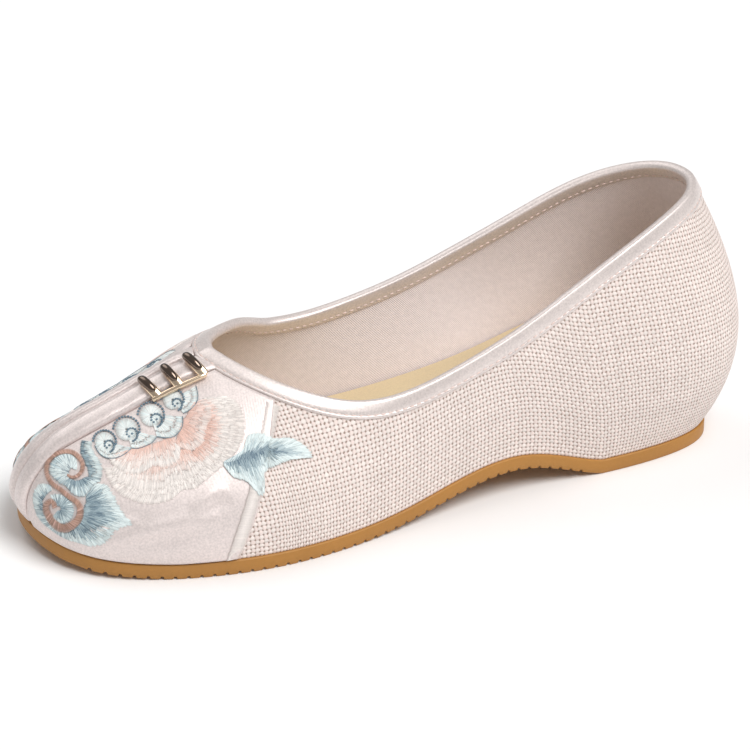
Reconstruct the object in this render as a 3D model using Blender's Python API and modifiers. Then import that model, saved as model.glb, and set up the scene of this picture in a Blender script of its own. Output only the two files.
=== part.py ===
"""Embroidered cloth flat with a hidden heel lift: a left shoe, built from rows of a last.

Millimetres in the tables, metres in the scene. Toe towards -X, heel towards +X, the lateral
side towards -Y, up is +Z. The origin is the middle of the box, on the floor.
"""
import math
from collections import namedtuple

import bmesh
import bpy
import numpy as np

MM = 0.001

# Sizes of the last, in millimetres
REACH = 128.44       # half the overall length, heel bulge to the front of the toe beams
MIDDLE = 1.42        # how far the last's mid-line stands off the middle of the box
SOLE_THICK = 5.0     # outsole, tread to welt
WELT = 1.0           # outsole edge beyond the foot of the upper
WALL = 2.0           # linen, stiffener and lining together
GAP = 0.3            # clearance between touching pieces
LIP = 2.8            # rise of the medial collar just behind the throat
THROAT = 7.0         # row at which the collar's two edges meet
TIP = 11.0           # row at which the two sides meet at the toe

# Rows of the sole; a lift below zero is pressed flat by the floor
Section = namedtuple("Section", "name along lateral medial lift")
SECTIONS = (
    Section("heel_back", 12.0, 0.0, 0.0, -1.0),
    Section("heel_corner", 18.0, 20.0, 18.5, -1.0),
    Section("heel_side", 39.5, 28.5, 26.5, -1.0),
    Section("heel_breast", 63.5, 30.5, 27.0, 0.6),
    Section("waist", 94.5, 32.0, 25.0, 9.0),
    Section("shank", 130.5, 37.5, 31.0, 3.2),
    Section("tread", 157.5, 43.0, 38.0, 0.2),
    Section("ball", 182.5, 45.5, 41.5, -0.2),
    Section("fore", 207.5, 42.5, 41.0, -0.2),
    Section("toe_side", 230.5, 34.5, 34.0, 0.8),
    Section("toe_corner", 246.5, 20.5, 25.0, 2.6),
    Section("toe_tip", 253.5, -3.0, 3.0, 4.5),
)

# Rows of the last's top: the heel, a line over the open instep, then the ridge of the toe
Crest = namedtuple("Crest", "name along lateral medial z_lateral z_medial")
CRESTS = (
    Crest("heel_back", 17.5, 0.0, 0.0, 93.0, 93.0),
    Crest("heel_corner", 24.0, 13.0, 14.5, 91.3, 91.8),
    Crest("heel_side", 45.5, 23.5, 24.0, 85.5, 86.0),
    Crest("heel_breast", 72.0, 27.5, 27.5, 75.0, 76.0),
    Crest("waist", 100.5, 26.5, 27.5, 70.0, 71.0),
    Crest("shank", 132.0, 16.5, 23.0, 71.0, 71.0),
    Crest("tread", 160.0, 4.5, 12.0, 67.0, 66.5),
    Crest("ball", 189.5, 0.0, 0.0, 58.0, 58.0),
    Crest("fore", 206.5, -0.4, 0.4, 51.5, 51.5),
    Crest("toe_side", 223.5, -1.1, 1.1, 44.5, 44.5),
    Crest("toe_corner", 235.5, -2.0, 2.0, 39.3, 39.3),
    Crest("toe_tip", 242.5, -3.0, 3.0, 34.8, 34.8),
)

# How far each row leans out at the sole and in at the crest, in degrees, and how far that carries
Flare = namedtuple("Flare", "name base_lean base_pull lean_lateral lean_medial top_pull")
FLARES = (
    Flare("heel_back", 34.0, 0.40, 29.0, 29.0, 0.46),
    Flare("heel_corner", 32.0, 0.40, 27.0, 27.0, 0.45),
    Flare("heel_side", 22.0, 0.38, 19.0, 19.0, 0.40),
    Flare("heel_breast", 12.0, 0.34, 18.0, 18.0, 0.36),
    Flare("waist", 6.0, 0.34, 30.0, 30.0, 0.34),
    Flare("shank", 5.0, 0.34, 50.0, 50.0, 0.36),
    Flare("tread", 6.0, 0.36, 60.0, 68.0, 0.36),
    Flare("ball", 8.0, 0.40, 62.0, 89.0, 0.38),
    Flare("fore", 9.0, 0.40, 63.0, 68.0, 0.40),
    Flare("toe_side", 11.0, 0.40, 60.0, 62.0, 0.42),
    Flare("toe_corner", 14.0, 0.40, 54.0, 55.0, 0.42),
    Flare("toe_tip", 16.0, 0.42, 50.0, 50.0, 0.42),
)

# Height of the collar edge at each row
Collar = namedtuple("Collar", "name z_lateral z_medial")
COLLARS = (
    Collar("heel_back", 91.0, 91.0),
    Collar("heel_corner", 89.2, 89.6),
    Collar("heel_side", 82.6, 83.2),
    Collar("heel_breast", 70.3, 71.0),
    Collar("waist", 57.2, 58.8),
    Collar("shank", 46.8, 49.2),
    Collar("tread", 46.2, 48.3),
    Collar("throat", 58.0, 58.0),
)


class Spline:
    """Cubic through values at 0, 1, 2 and so on; an even end has no slope."""

    def __init__(self, values, even_start, even_end):
        self.v = np.array(values, float)
        n = len(self.v)
        a = np.zeros((n, n))
        b = np.zeros(n)
        for i in range(1, n - 1):
            a[i, i - 1:i + 2] = (1, 4, 1)
            b[i] = 6 * (self.v[i - 1] - 2 * self.v[i] + self.v[i + 1])
        for row, near, even in ((0, 1, even_start), (n - 1, n - 2, even_end)):
            a[row, row] = 2 if even else 1
            if even:
                a[row, near] = 1
                b[row] = 6 * (self.v[near] - self.v[row])
        self.m = np.linalg.solve(a, b)

    def __call__(self, k):
        n = len(self.v)
        k = np.clip(np.asarray(k, float), 0, n - 1)
        i = np.minimum(k.astype(int), n - 2)
        t = k - i
        s = 1 - t
        line = self.v[i] * s + self.v[i + 1] * t
        return line + ((s ** 3 - s) * self.m[i] + (t ** 3 - t) * self.m[i + 1]) / 6


def columns(table, even):
    """One spline per named column; even names the columns without slope at start and end."""
    names = table[0]._fields[1:]
    return {n: Spline([getattr(r, n) for r in table], n in even[0], n in even[1]) for n in names}


SOLE = columns(SECTIONS, (("along", "lift"), ("along", "lift")))
CREST = columns(CRESTS, (("along", "z_lateral", "z_medial"), ()))
FLARE = columns(FLARES, (Flare._fields, Flare._fields))
COLLAR = columns(COLLARS, (("z_lateral", "z_medial"), ()))
LATERAL = -1
MEDIAL = 1
UP = np.array((0.0, 0.0, 1.0))


def named(side):
    return "lateral" if side == LATERAL else "medial"


def lift(k):
    return np.maximum(SOLE["lift"](k), 0.0)


def feather(side, k):
    """Line where the foot of the upper meets the outsole, heel (row 0) to toe (row 11)."""
    x = REACH - SOLE["along"](k)
    y = side * SOLE[named(side)](k) + MIDDLE
    return np.stack((x, y, lift(k) + SOLE_THICK), -1)


def outward(side, k):
    """Level direction pointing out of the feather line."""
    step = 0.001
    d = feather(side, np.minimum(k + step, TIP)) - feather(side, np.maximum(k - step, 0.0))
    out = np.stack((d[..., 1] * side, -d[..., 0] * side, 0 * d[..., 0]), -1)
    return out / np.linalg.norm(out, axis=-1, keepdims=True)


def crest(side, k):
    """Top of the last: the toe's ridge, shared by both sides, carried on over the foot to the heel."""
    k = np.asarray(k, float)
    both = []
    for which in (side, -side):
        x = REACH - CREST["along"](k)
        y = which * CREST[named(which)](k) + MIDDLE
        both.append(np.stack((x, y, CREST["z_" + named(which)](k)), -1))
    return np.where((k >= THROAT)[..., None], (both[0] + both[1]) / 2, both[0])


def last(side, k, v):
    """Face of the last: k runs heel to toe by rows, v from the feather line to the crest."""
    k, v = np.broadcast_arrays(np.asarray(k, float), np.asarray(v, float))
    foot = feather(side, k)
    top = crest(side, k)
    out = outward(side, k)
    chord = np.linalg.norm(top - foot, axis=-1)[..., None]
    low = np.radians(FLARE["base_lean"](k))[..., None]
    high = np.radians(FLARE["lean_" + named(side)](k))[..., None]
    base_pull = FLARE["base_pull"](k)[..., None]
    top_pull = FLARE["top_pull"](k)[..., None]
    rise = foot + base_pull * chord * (np.sin(low) * out + np.cos(low) * UP)
    fall = top + top_pull * chord * (np.sin(high) * out - np.cos(high) * UP)
    t = v[..., None]
    s = 1 - t
    return foot * s ** 3 + 3 * rise * t * s ** 2 + 3 * fall * t ** 2 * s + top * t ** 3


def normal(side, k, v):
    """Outward normal of the last."""
    step = 0.002
    k, v = np.broadcast_arrays(np.asarray(k, float), np.asarray(v, float))
    dk = last(side, np.minimum(k + step, TIP), v) - last(side, np.maximum(k - step, 0.0), v)
    dv = last(side, k, np.minimum(v + step, 1.0)) - last(side, k, np.maximum(v - step, 0.0))
    n = np.cross(dk, dv) * side
    return n / np.linalg.norm(n, axis=-1, keepdims=True)


def off(side, k, v, distance):
    """Point of the last moved out along its normal."""
    return last(side, k, v) + np.asarray(distance)[..., None] * normal(side, k, v)


def height_to_v(side, k, z):
    """The v at which row k of the last is at height z."""
    k, z = np.broadcast_arrays(np.asarray(k, float), np.asarray(z, float))
    low = np.zeros(k.shape)
    high = np.ones(k.shape)
    for _ in range(24):
        mid = (low + high) / 2
        below = last(side, k, mid)[..., 2] < z
        low = np.where(below, mid, low)
        high = np.where(below, high, mid)
    return (low + high) / 2


def rim(side, k):
    """The v of the collar edge, or of the ridge in front of the throat."""
    k = np.asarray(k, float)
    z = COLLAR["z_" + named(side)](np.minimum(k, THROAT))
    if side == MEDIAL:
        z = z + LIP * np.sin(math.pi * np.clip(k - THROAT + 1, 0, 1)) ** 2
    return np.where(k < THROAT, height_to_v(side, k, z), 1.0)


class CollarLoop:
    """The collar edge once round: from the throat back along the lateral side, round the heel and forward."""

    def __init__(self, rows):
        rows = np.asarray(rows, float)
        straight = rows[(rows < 6.95) | (rows == THROAT)]
        self.k = np.concatenate((straight[::-1], rows[1:-1]))
        self.side = np.concatenate((np.full(len(straight), LATERAL), np.full(len(rows) - 2, MEDIAL)))
        self.v = self.on_side(rim, self.k)
        self.edge = self.on_side(last, self.k, self.v)
        run = np.roll(self.edge, -1, 0) - np.roll(self.edge, 1, 0)
        self.run = run / np.linalg.norm(run, axis=1, keepdims=True)
        out = self.even(self.normals(self.k, self.v))
        out = out - self.run * np.sum(out * self.run, 1, keepdims=True)
        self.out = out / np.linalg.norm(out, axis=1, keepdims=True)
        down = np.cross(self.out, self.run)
        heel = np.argmin(self.k)
        self.down = down * -np.sign(down[heel, 2])

    def on_side(self, rule, *values):
        """A rule of the last worked out on the side that each point is on."""
        found = [rule(side, *values) for side in (LATERAL, MEDIAL)]
        pick = (self.side == LATERAL).reshape((-1,) + (1,) * (np.ndim(found[0]) - 1))
        return np.where(pick, found[0], found[1])

    def normals(self, k, v):
        """Ways out of the last, kept off the points where its rows meet."""
        return self.on_side(normal, np.minimum(k, 10.96), np.clip(v, 0.0, 0.985))

    def even(self, field):
        """Directions evened out where the two sides meet, at the throat and the heel."""
        near = np.maximum(np.clip((self.k - 6.4) / 0.3, 0, 1), np.clip((0.3 - self.k) / 0.2, 0, 1))[:, None]
        soft = field
        for _ in range(12):
            soft = (np.roll(soft, 1, 0) + 2 * soft + np.roll(soft, -1, 0)) / 4
        soft = field * (1 - near) + soft * near
        return soft / np.linalg.norm(soft, axis=1, keepdims=True)

    def below(self, distance):
        """Row and v of the points this far below the edge, measured across it on the last."""
        goal = self.edge + distance * self.down
        k = self.k.copy()
        v = self.v.copy()
        step = 0.003
        for _ in range(8):
            here = self.on_side(last, k, v)
            ahead = np.where(k > 9.0, -step, step)
            lower = np.where(v > 0.5, -step, step)
            dk = (self.on_side(last, k + ahead, v) - here) / ahead[:, None]
            dv = (self.on_side(last, k, v + lower) - here) / lower[:, None]
            miss = goal - here
            kk = np.sum(dk * dk, 1)
            vv = np.sum(dv * dv, 1)
            kv = np.sum(dk * dv, 1)
            mk = np.sum(miss * dk, 1)
            mv = np.sum(miss * dv, 1)
            flat = kk * vv - kv * kv
            k = np.clip(k + np.clip((mk * vv - mv * kv) / flat, -0.2, 0.2), 0.0, 10.9)
            v = np.clip(v + np.clip((mv * kk - mk * kv) / flat, -0.1, 0.1), 0.0, 1.0)
        return k, v

    def rings(self, section):
        """A section of points, off the linen and down from the edge, laid all the way round."""
        lines = []
        for away, depth in section:
            if depth > 0.0:
                k, v = self.below(depth)
                foot = self.on_side(last, k, v)
                lines.append(foot + away * self.even(self.normals(k, v)))
            else:
                lines.append(self.edge + away * self.out + depth * self.down)
        return np.stack(lines, 1)


# Sizes of the pieces, in millimetres

HEEL_ROWS = np.linspace(0.0, 2.0, 11)
WAIST_ROWS = np.linspace(2.25, 6.0, 16)
THROAT_ROWS = (6.2, 6.4, 6.56, 6.7, 6.82, 6.92, 6.97)
TOE_ROWS = np.concatenate(((7.0, 7.1), np.linspace(7.25, 10.4, 14), (10.7, 11.0)))
FOOT_ROWS = np.concatenate((HEEL_ROWS, WAIST_ROWS, THROAT_ROWS, TOE_ROWS))
WALL_STEPS = 7
FIT = 0.9                # clearance of the insole inside the upper
RIB_START = 66.0
RIB_END = 244.0
RIB_PITCH = 4.0
RIB_LAND = 2.6
RIB_RAMP = 0.4
RIB_DEPTH = 0.8
HEEL_PAD = 3.2           # row in front of the smooth heel pad
EDGE_ROUND = 0.8
EDGE_RISE = 1.2
BIND_GAP = 0.5           # slack of the folded strip on the edge, inside and out
BIND_SIDE = 0.6          # thickness of the binding's two legs
BIND_DEPTH = 5.4         # how far the outer leg reaches below the collar edge
BIND_INSIDE = 3.4        # the same for the leg inside the shoe
BIND_ROLL = 0.8          # thickness of the binding over the edge
BEAM_START = 7.31        # row at which the toe beams begin on the ridge
BEAM_SLANT = {LATERAL: 0.56, MEDIAL: 0.24}   # how fast their ends draw back along the binding
BEAM_GROOVE = 0.35       # half the groove between the beams
BEAM_WIDTH = 6.4
BEAM_STEPS = 22
PANEL = 0.8              # satin and its backing
PANEL_EDGE = 0.45        # clearance of a panel's edge from beam, binding and outsole

Footbed = namedtuple("Footbed", "name z")
FOOTBEDS = (
    Footbed("heel_back", 35.0),
    Footbed("heel_corner", 34.8),
    Footbed("heel_side", 33.4),
    Footbed("heel_breast", 29.5),
    Footbed("waist", 24.6),
    Footbed("shank", 16.4),
    Footbed("tread", 12.0),
    Footbed("ball", 9.4),
    Footbed("fore", 8.4),
    Footbed("toe_side", 9.0),
    Footbed("toe_corner", 10.8),
    Footbed("toe_tip", 12.6),
)

BeamLine = namedtuple("BeamLine", "name across height")
BEAM_LINES = (
    BeamLine("groove", 0.0, 1.2),
    BeamLine("shoulder", 0.17, 2.3),
    BeamLine("crown", 0.5, 2.8),
    BeamLine("fall", 0.82, 2.2),
    BeamLine("edge", 1.0, 0.9),
)

RAIL_ACROSS = 8.4         # distance of the ornament's rail from the centre line
RAIL_HEIGHT = 2.55        # middle of the rail above the upper
RAIL_THICK = 2.0
RAIL_ROWS = (7.22, 8.34)
RUNG_WIDE = 3.2
RUNG_HIGH = 1.6

Rung = namedtuple("Rung", "name far_row near_row")
RUNGS = (Rung("front", 8.37, 8.24), Rung("middle", 7.90, 7.78), Rung("back", 7.43, 7.31))

RungArch = namedtuple("RungArch", "name across height")
RUNG_ARCH = (
    RungArch("rail", 8.4, 2.6),
    RungArch("rise", 7.5, 3.1),
    RungArch("shoulder", 5.7, 4.0),
    RungArch("crown", 3.6, 4.4),
    RungArch("fall", 1.9, 4.1),
    RungArch("tip", 0.9, 3.5),
)

Seam = namedtuple("Seam", "name row")
SEAM = (
    Seam("sole", 7.62),
    Seam("lower", 7.36),
    Seam("middle", 7.1),
    Seam("upper", 6.84),
    Seam("collar", 6.6),
)


# Scene

for item in list(bpy.data.objects):
    bpy.data.objects.remove(item, do_unlink=True)
SHOE = bpy.data.collections.new("Embroidered cloth flat")
bpy.context.scene.collection.children.link(SHOE)


def material(name, colour, roughness, metallic=0.0):
    made = bpy.data.materials.new(name)
    made.use_nodes = True
    shader = made.node_tree.nodes["Principled BSDF"]
    shader.inputs["Base Color"].default_value = (*colour, 1.0)
    shader.inputs["Roughness"].default_value = roughness
    shader.inputs["Metallic"].default_value = metallic
    made.diffuse_color = (*colour, 1.0)
    return made


def piece(name, points, faces, look):
    """A named object from points in millimetres, its faces turned to one side throughout."""
    mesh = bpy.data.meshes.new(name)
    mesh.from_pydata([tuple(float(c) * MM for c in p) for p in points], [], faces)
    work = bmesh.new()
    work.from_mesh(mesh)
    bmesh.ops.recalc_face_normals(work, faces=work.faces)
    work.to_mesh(mesh)
    work.free()
    mesh.materials.append(look)
    made = bpy.data.objects.new(name, mesh)
    SHOE.objects.link(made)
    return made


class Points:
    """Collects points once each, so that faces share them."""

    def __init__(self):
        self.all = []
        self.seen = {}

    def add(self, p):
        key = tuple(round(float(c), 4) for c in p)
        if key not in self.seen:
            self.seen[key] = len(self.all)
            self.all.append(key)
        return self.seen[key]


def face(faces, corners):
    """Adds a face without its repeated corners."""
    kept = [c for i, c in enumerate(corners) if c != corners[i - 1]]
    if len(set(kept)) > 2:
        faces.append(kept)


def sheet(points, faces, grid):
    """Quads over a grid of points, rows by columns."""
    index = [[points.add(p) for p in row] for row in grid]
    for a, b in zip(index, index[1:]):
        for i in range(len(a) - 1):
            face(faces, (a[i], a[i + 1], b[i + 1], b[i]))


def sweep(points, faces, rings):
    """Quads between closed rings, and a cap on each end."""
    index = [[points.add(p) for p in ring] for ring in rings]
    for a, b in zip(index, index[1:]):
        for i in range(len(a)):
            j = (i + 1) % len(a)
            face(faces, (a[i], a[j], b[j], b[i]))
    face(faces, list(reversed(index[0])))
    face(faces, index[-1])


def thicken(made, thickness, outward_too):
    """Gives an open sheet its real thickness."""
    shell = made.modifiers.new("Wall", "SOLIDIFY")
    shell.thickness = thickness * MM
    shell.offset = 1.0 if outward_too else -1.0
    shell.use_even_offset = True
    shell.use_rim = True
    cut = made.modifiers.new("Short diagonals", "TRIANGULATE")
    cut.quad_method = "SHORTEST_DIAGONAL"


def face_out(made, inside):
    """Turns an open sheet so that its faces look away from a point inside, in millimetres."""
    work = bmesh.new()
    work.from_mesh(made.data)
    centre = [c * MM for c in inside]
    score = 0.0
    for f in work.faces:
        middle = f.calc_center_median()
        score += f.normal.dot(middle - type(middle)(centre)) * f.calc_area()
    if score < 0:
        bmesh.ops.reverse_faces(work, faces=work.faces)
    work.to_mesh(made.data)
    work.free()


# Outsole

def row_at(along):
    """The row at which the sole is this far from the heel."""
    low = np.zeros(np.shape(along))
    high = np.full(np.shape(along), TIP)
    for _ in range(24):
        mid = (low + high) / 2
        before = SOLE["along"](mid) < along
        low = np.where(before, mid, low)
        high = np.where(before, high, mid)
    return (low + high) / 2


def sole_stations():
    """Rows of the outsole with the depth of the tread there."""
    stations = [(k, 0.0) for k in np.linspace(0.0, row_at(RIB_START - 1.0), 16)]
    ribs = int((RIB_END - RIB_START) / RIB_PITCH)
    for i in range(ribs):
        start = RIB_START + i * RIB_PITCH
        edge = start + RIB_LAND
        stations.append((row_at(start), 0.0))
        stations.append((row_at(edge), 0.0))
        stations.append((row_at(edge + RIB_RAMP), RIB_DEPTH))
        stations.append((row_at(start + RIB_PITCH - RIB_RAMP), RIB_DEPTH))
    stations.append((row_at(RIB_START + ribs * RIB_PITCH), 0.0))
    stations += [(k, 0.0) for k in np.linspace(row_at(RIB_END + 2.5), TIP, 9)]
    return stations


def outsole(look):
    points = Points()
    faces = []
    rows = []
    for k, depth in sole_stations():
        ring = []
        for side in (LATERAL, MEDIAL):
            foot = feather(side, k)
            out = outward(side, k)
            base = float(lift(k))
            levels = (
                (WELT - EDGE_ROUND, base + depth),
                (WELT, base + max(EDGE_RISE, depth + 0.1)),
                (WELT, base + SOLE_THICK),
            )
            line = []
            for grow, z in levels:
                p = foot + grow * out
                line.append((p[0], p[1], z))
            ring.append(line)
        rows.append(ring)
    for end in (0, -1):
        for level in range(3):
            middle = [(a + b) / 2 for a, b in zip(rows[end][0][level], rows[end][1][level])]
            rows[end][0][level] = middle
            rows[end][1][level] = middle
    lateral = [r[0] for r in rows]
    medial = [r[1] for r in rows]
    sheet(points, faces, lateral)
    sheet(points, faces, medial)
    pad = sum(1 for k, depth in sole_stations() if k < HEEL_PAD and lift(k) == 0.0)
    rear = [points.add(a[0]) for a in lateral[:pad]]
    rear += [points.add(b[0]) for b in medial[pad - 1:0:-1]]
    faces.append(rear)
    sheet(points, faces, [(a[0], b[0]) for a, b in zip(lateral[pad - 1:], medial[pad - 1:])])
    sheet(points, faces, [(a[2], b[2]) for a, b in zip(lateral, medial)])
    return piece("outsole", points.all, faces, look)


# Insole, a wedge that lifts the heel inside the shoe

FOOTBED = columns(FOOTBEDS, (("z",), ("z",)))


def insole(look):
    points = Points()
    faces = []
    steps = 3
    sides = {}
    for side in (LATERAL, MEDIAL):
        rows = []
        for k in FOOT_ROWS:
            floor = float(lift(k)) + SOLE_THICK + GAP
            levels = np.linspace(floor, float(FOOTBED["z"](k)), steps + 1)
            rows_k = np.full(steps + 1, k)
            inset = -(WALL + FIT) - np.array((1.6,) + (0.0,) * steps)
            v = height_to_v(side, k, levels)
            for _ in range(3):
                rise = off(side, rows_k, v, inset)[:, 2] - last(side, rows_k, v)[:, 2]
                v = height_to_v(side, k, levels - rise)
            wall = off(side, rows_k, v, inset)
            rows.append([(p[0], p[1], z) for p, z in zip(wall, levels)])
        sides[side] = np.array(rows)
    for end in (0, -1):
        middle = (sides[LATERAL][end] + sides[MEDIAL][end]) / 2
        sides[LATERAL][end] = middle
        sides[MEDIAL][end] = middle
    sheet(points, faces, sides[LATERAL])
    sheet(points, faces, sides[MEDIAL])
    for level in (0, steps):
        a = sides[LATERAL][:, level]
        b = sides[MEDIAL][:, level]
        sheet(points, faces, np.stack([a + (b - a) * t for t in np.linspace(0, 1, 4)], 1))
    return piece("insole", points.all, faces, look)


# Upper, one hollow shell

def upper(look):
    sides = {}
    t = np.linspace(0, 1, WALL_STEPS + 1)
    for side in (LATERAL, MEDIAL):
        start = height_to_v(side, FOOT_ROWS, lift(FOOT_ROWS) + SOLE_THICK + GAP)
        end = rim(side, FOOT_ROWS)
        v = start[:, None] + (end - start)[:, None] * t[None, :]
        sides[side] = last(side, FOOT_ROWS[:, None], v)
    shared = np.zeros(sides[LATERAL].shape[:2], bool)
    shared[0] = True
    shared[-1] = True
    shared[FOOT_ROWS >= THROAT, -1] = True
    middle = (sides[LATERAL] + sides[MEDIAL]) / 2
    points = Points()
    faces = []
    for side in (LATERAL, MEDIAL):
        sheet(points, faces, np.where(shared[..., None], middle, sides[side]))
    made = piece("upper", points.all, faces, look)
    face_out(made, (0.0, 0.0, 30.0))
    thicken(made, WALL, False)
    return made


# Collar binding, a folded strip over the collar edge

def binding_section():
    """Outline of the folded strip: off the upper, and down from the collar edge."""
    near = BIND_GAP
    far = -(WALL + BIND_GAP)
    outer = near + BIND_SIDE
    inner = far - BIND_SIDE
    crown = -BIND_GAP - BIND_ROLL
    return (
        (near, BIND_DEPTH),
        (outer - 0.25, BIND_DEPTH),
        (outer, BIND_DEPTH - 0.8),
        (outer, 0.7),
        (outer - 0.5, 0.62 * crown),
        ((outer + inner) / 2, crown),
        (inner + 0.5, 0.62 * crown),
        (inner, 0.7),
        (inner, BIND_INSIDE - 0.8),
        (inner + 0.25, BIND_INSIDE),
        (far, BIND_INSIDE),
        (far, -BIND_GAP),
        (near, -BIND_GAP),
    )


def binding(look):
    loop = CollarLoop(FOOT_ROWS[FOOT_ROWS <= THROAT])
    rings = loop.rings(binding_section())
    rings = np.concatenate((rings, rings[:1]))
    points = Points()
    faces = []
    sheet(points, faces, np.concatenate((rings, rings[:, :1]), 1))
    return piece("collar_binding", points.all, faces, look)


# Toe beams and satin panels

def beam_path():
    """Centre line of the toe: along the ridge, then down the front to the outsole."""
    ridge = crest(LATERAL, np.linspace(BEAM_START, TIP, 80))
    foot = float(height_to_v(LATERAL, TIP, lift(TIP) + SOLE_THICK + GAP + 0.35))
    front = last(LATERAL, TIP, np.linspace(1.0, foot, 60))[1:]
    line = np.concatenate((ridge, front))
    reach = np.concatenate(((0.0,), np.cumsum(np.linalg.norm(np.diff(line, axis=0), axis=1))))
    at = np.linspace(0, reach[-1], BEAM_STEPS + 1)
    path = np.stack([np.interp(at, reach, line[:, i]) for i in range(3)], -1)
    run = np.gradient(path, axis=0)
    for _ in range(3):
        run[1:-1] = (run[:-2] + 2 * run[1:-1] + run[2:]) / 4
    return path, run / np.linalg.norm(run, axis=1, keepdims=True)


class Finder:
    """Finds where a plane across the toe meets the last, at a distance from the centre line."""

    def __init__(self, side):
        self.side = side
        self.k, self.v = np.meshgrid(np.linspace(6.0, TIP, 150), np.linspace(0.0, 1.0, 110), indexing="ij")
        self.grid = last(side, self.k, self.v)

    def miss(self, p, centre, run, distance):
        ahead = (p - centre) @ run
        beside = self.side * (p[..., 1] - centre[1]) - distance
        return ahead ** 2 + beside ** 2

    def find(self, centre, run, distance):
        at = np.unravel_index(np.argmin(self.miss(self.grid, centre, run, distance)), self.k.shape)
        k = self.k[at]
        v = self.v[at]
        step_k = 0.04
        step_v = 0.012
        for _ in range(10):
            ks = np.clip(k + step_k * np.linspace(-1, 1, 7), 6.0, TIP)
            vs = np.clip(v + step_v * np.linspace(-1, 1, 7), 0.0, 1.0)
            kk, vv = np.meshgrid(ks, vs, indexing="ij")
            miss = self.miss(last(self.side, kk, vv), centre, run, distance)
            at = np.unravel_index(np.argmin(miss), kk.shape)
            k = kk[at]
            v = vv[at]
            step_k *= 0.5
            step_v *= 0.5
        return k, v


def beam(side, look):
    """A padded strip beside the centre line, standing off the upper."""
    finder = Finder(side)
    path, run = beam_path()
    across = [BEAM_GROOVE + BEAM_WIDTH * line.across for line in BEAM_LINES]
    found = []
    for i, (p, r) in enumerate(zip(path, run)):
        slant = BEAM_SLANT[side] * max(0.0, 1.0 - i / 5)
        found.append([finder.find(p - r * slant * a, r, a) for a in across])
    foot = np.array([[last(side, k, v) for k, v in row] for row in found])
    along = np.gradient(foot, axis=0)
    beside = np.gradient(foot, axis=1)
    out = np.cross(along, beside) * -side
    out /= np.linalg.norm(out, axis=2, keepdims=True)
    level = np.cross(run, (0.0, 1.0, 0.0))
    level *= np.sign(np.sum(level * out[:, 2], axis=1))[:, None]
    rings = []
    for i in range(len(path)):
        ease = math.sin(math.pi * min(1.0, (i + 0.6) / 3, (len(path) - i - 0.4) / 3) / 2)
        top = []
        low = []
        for j, line in enumerate(BEAM_LINES):
            n = level[i] * (1 - line.across) + out[i, j] * line.across
            n /= np.linalg.norm(n)
            low.append(foot[i, j] + GAP * n)
            top.append(foot[i, j] + (GAP + line.height * ease) * n)
        rings.append(top + low[::-1])
    points = Points()
    faces = []
    sweep(points, faces, rings)
    return piece("toe_beam_" + named(side), points.all, faces, look)


def panel(side, look):
    """Satin toe panel, cut from the last between the seam, the outsole and the beam."""
    finder = Finder(side)
    path, run = beam_path()
    edge = BEAM_GROOVE + BEAM_WIDTH + PANEL_EDGE
    loop = CollarLoop(np.append(np.linspace(0.0, 6.0, 13), np.linspace(6.2, THROAT, 41)))
    low_edge = np.stack(loop.below(BIND_DEPTH + PANEL_EDGE), -1)[loop.side == side]
    low_edge = low_edge[np.argsort(low_edge[:, 0])]
    ridge = crest(side, np.maximum(low_edge[:, 0], THROAT))
    beside = side * (last(side, low_edge[:, 0], low_edge[:, 1]) - ridge)[:, 1]
    low_edge = low_edge[(low_edge[:, 0] >= SEAM[-1].row) & (beside > edge + 0.4)]
    top = list(low_edge[np.linspace(0, len(low_edge) - 1, 5).astype(int)])
    for i, (p, r) in enumerate(zip(path, run)):
        slant = BEAM_SLANT[side] * max(0.0, 1.0 - i / 5)
        if i:
            top.append(finder.find(p - r * slant * edge, r, edge))
    top = [t for t in top if t[1] > 0.03]
    top = np.array(top)
    count = len(top)
    seam = Spline([s.row for s in SEAM], False, False)
    steps = 9
    t = np.linspace(0, 1, steps)
    grid = []
    low_rows = np.linspace(SEAM[0].row, top[-1, 0] - 0.12, count)
    collar_row = top[0, 0] - SEAM[-1].row
    for i in range(count):
        foot = height_to_v(side, low_rows[i], lift(low_rows[i]) + SOLE_THICK + GAP + PANEL_EDGE)
        k = low_rows[i] + (top[i, 0] - low_rows[i]) * t
        if i == 0:
            k = seam(t * (len(SEAM) - 1)) + collar_row * t ** 4
        v = foot + (top[i, 1] - foot) * t
        grid.append(off(side, k, v, np.full(steps, GAP + 0.05)))
    points = Points()
    faces = []
    sheet(points, faces, grid)
    made = piece("vamp_" + named(side), points.all, faces, look)
    face_out(made, (-60.0, 0.0, 20.0))
    thicken(made, PANEL, True)
    return made


# Gold ornament on the lateral beam: a rail with three rungs over the satin

CUTTERS = bpy.data.collections.new("Rungs to join")
bpy.context.scene.collection.children.link(CUTTERS)


def tube(path, across, wide, high, sides=8):
    """Rings of an oval tube along a path; across is the direction of its width."""
    run = np.gradient(path, axis=0)
    rings = []
    for p, r, a in zip(path, run, across):
        r = r / np.linalg.norm(r)
        a = a - r * (a @ r)
        a = a / np.linalg.norm(a)
        up = np.cross(a, r)
        turn = [2 * math.pi * (i + 0.5) / sides for i in range(sides)]
        rings.append([p + wide * math.cos(t) * a + high * math.sin(t) * up for t in turn])
    return rings


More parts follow.
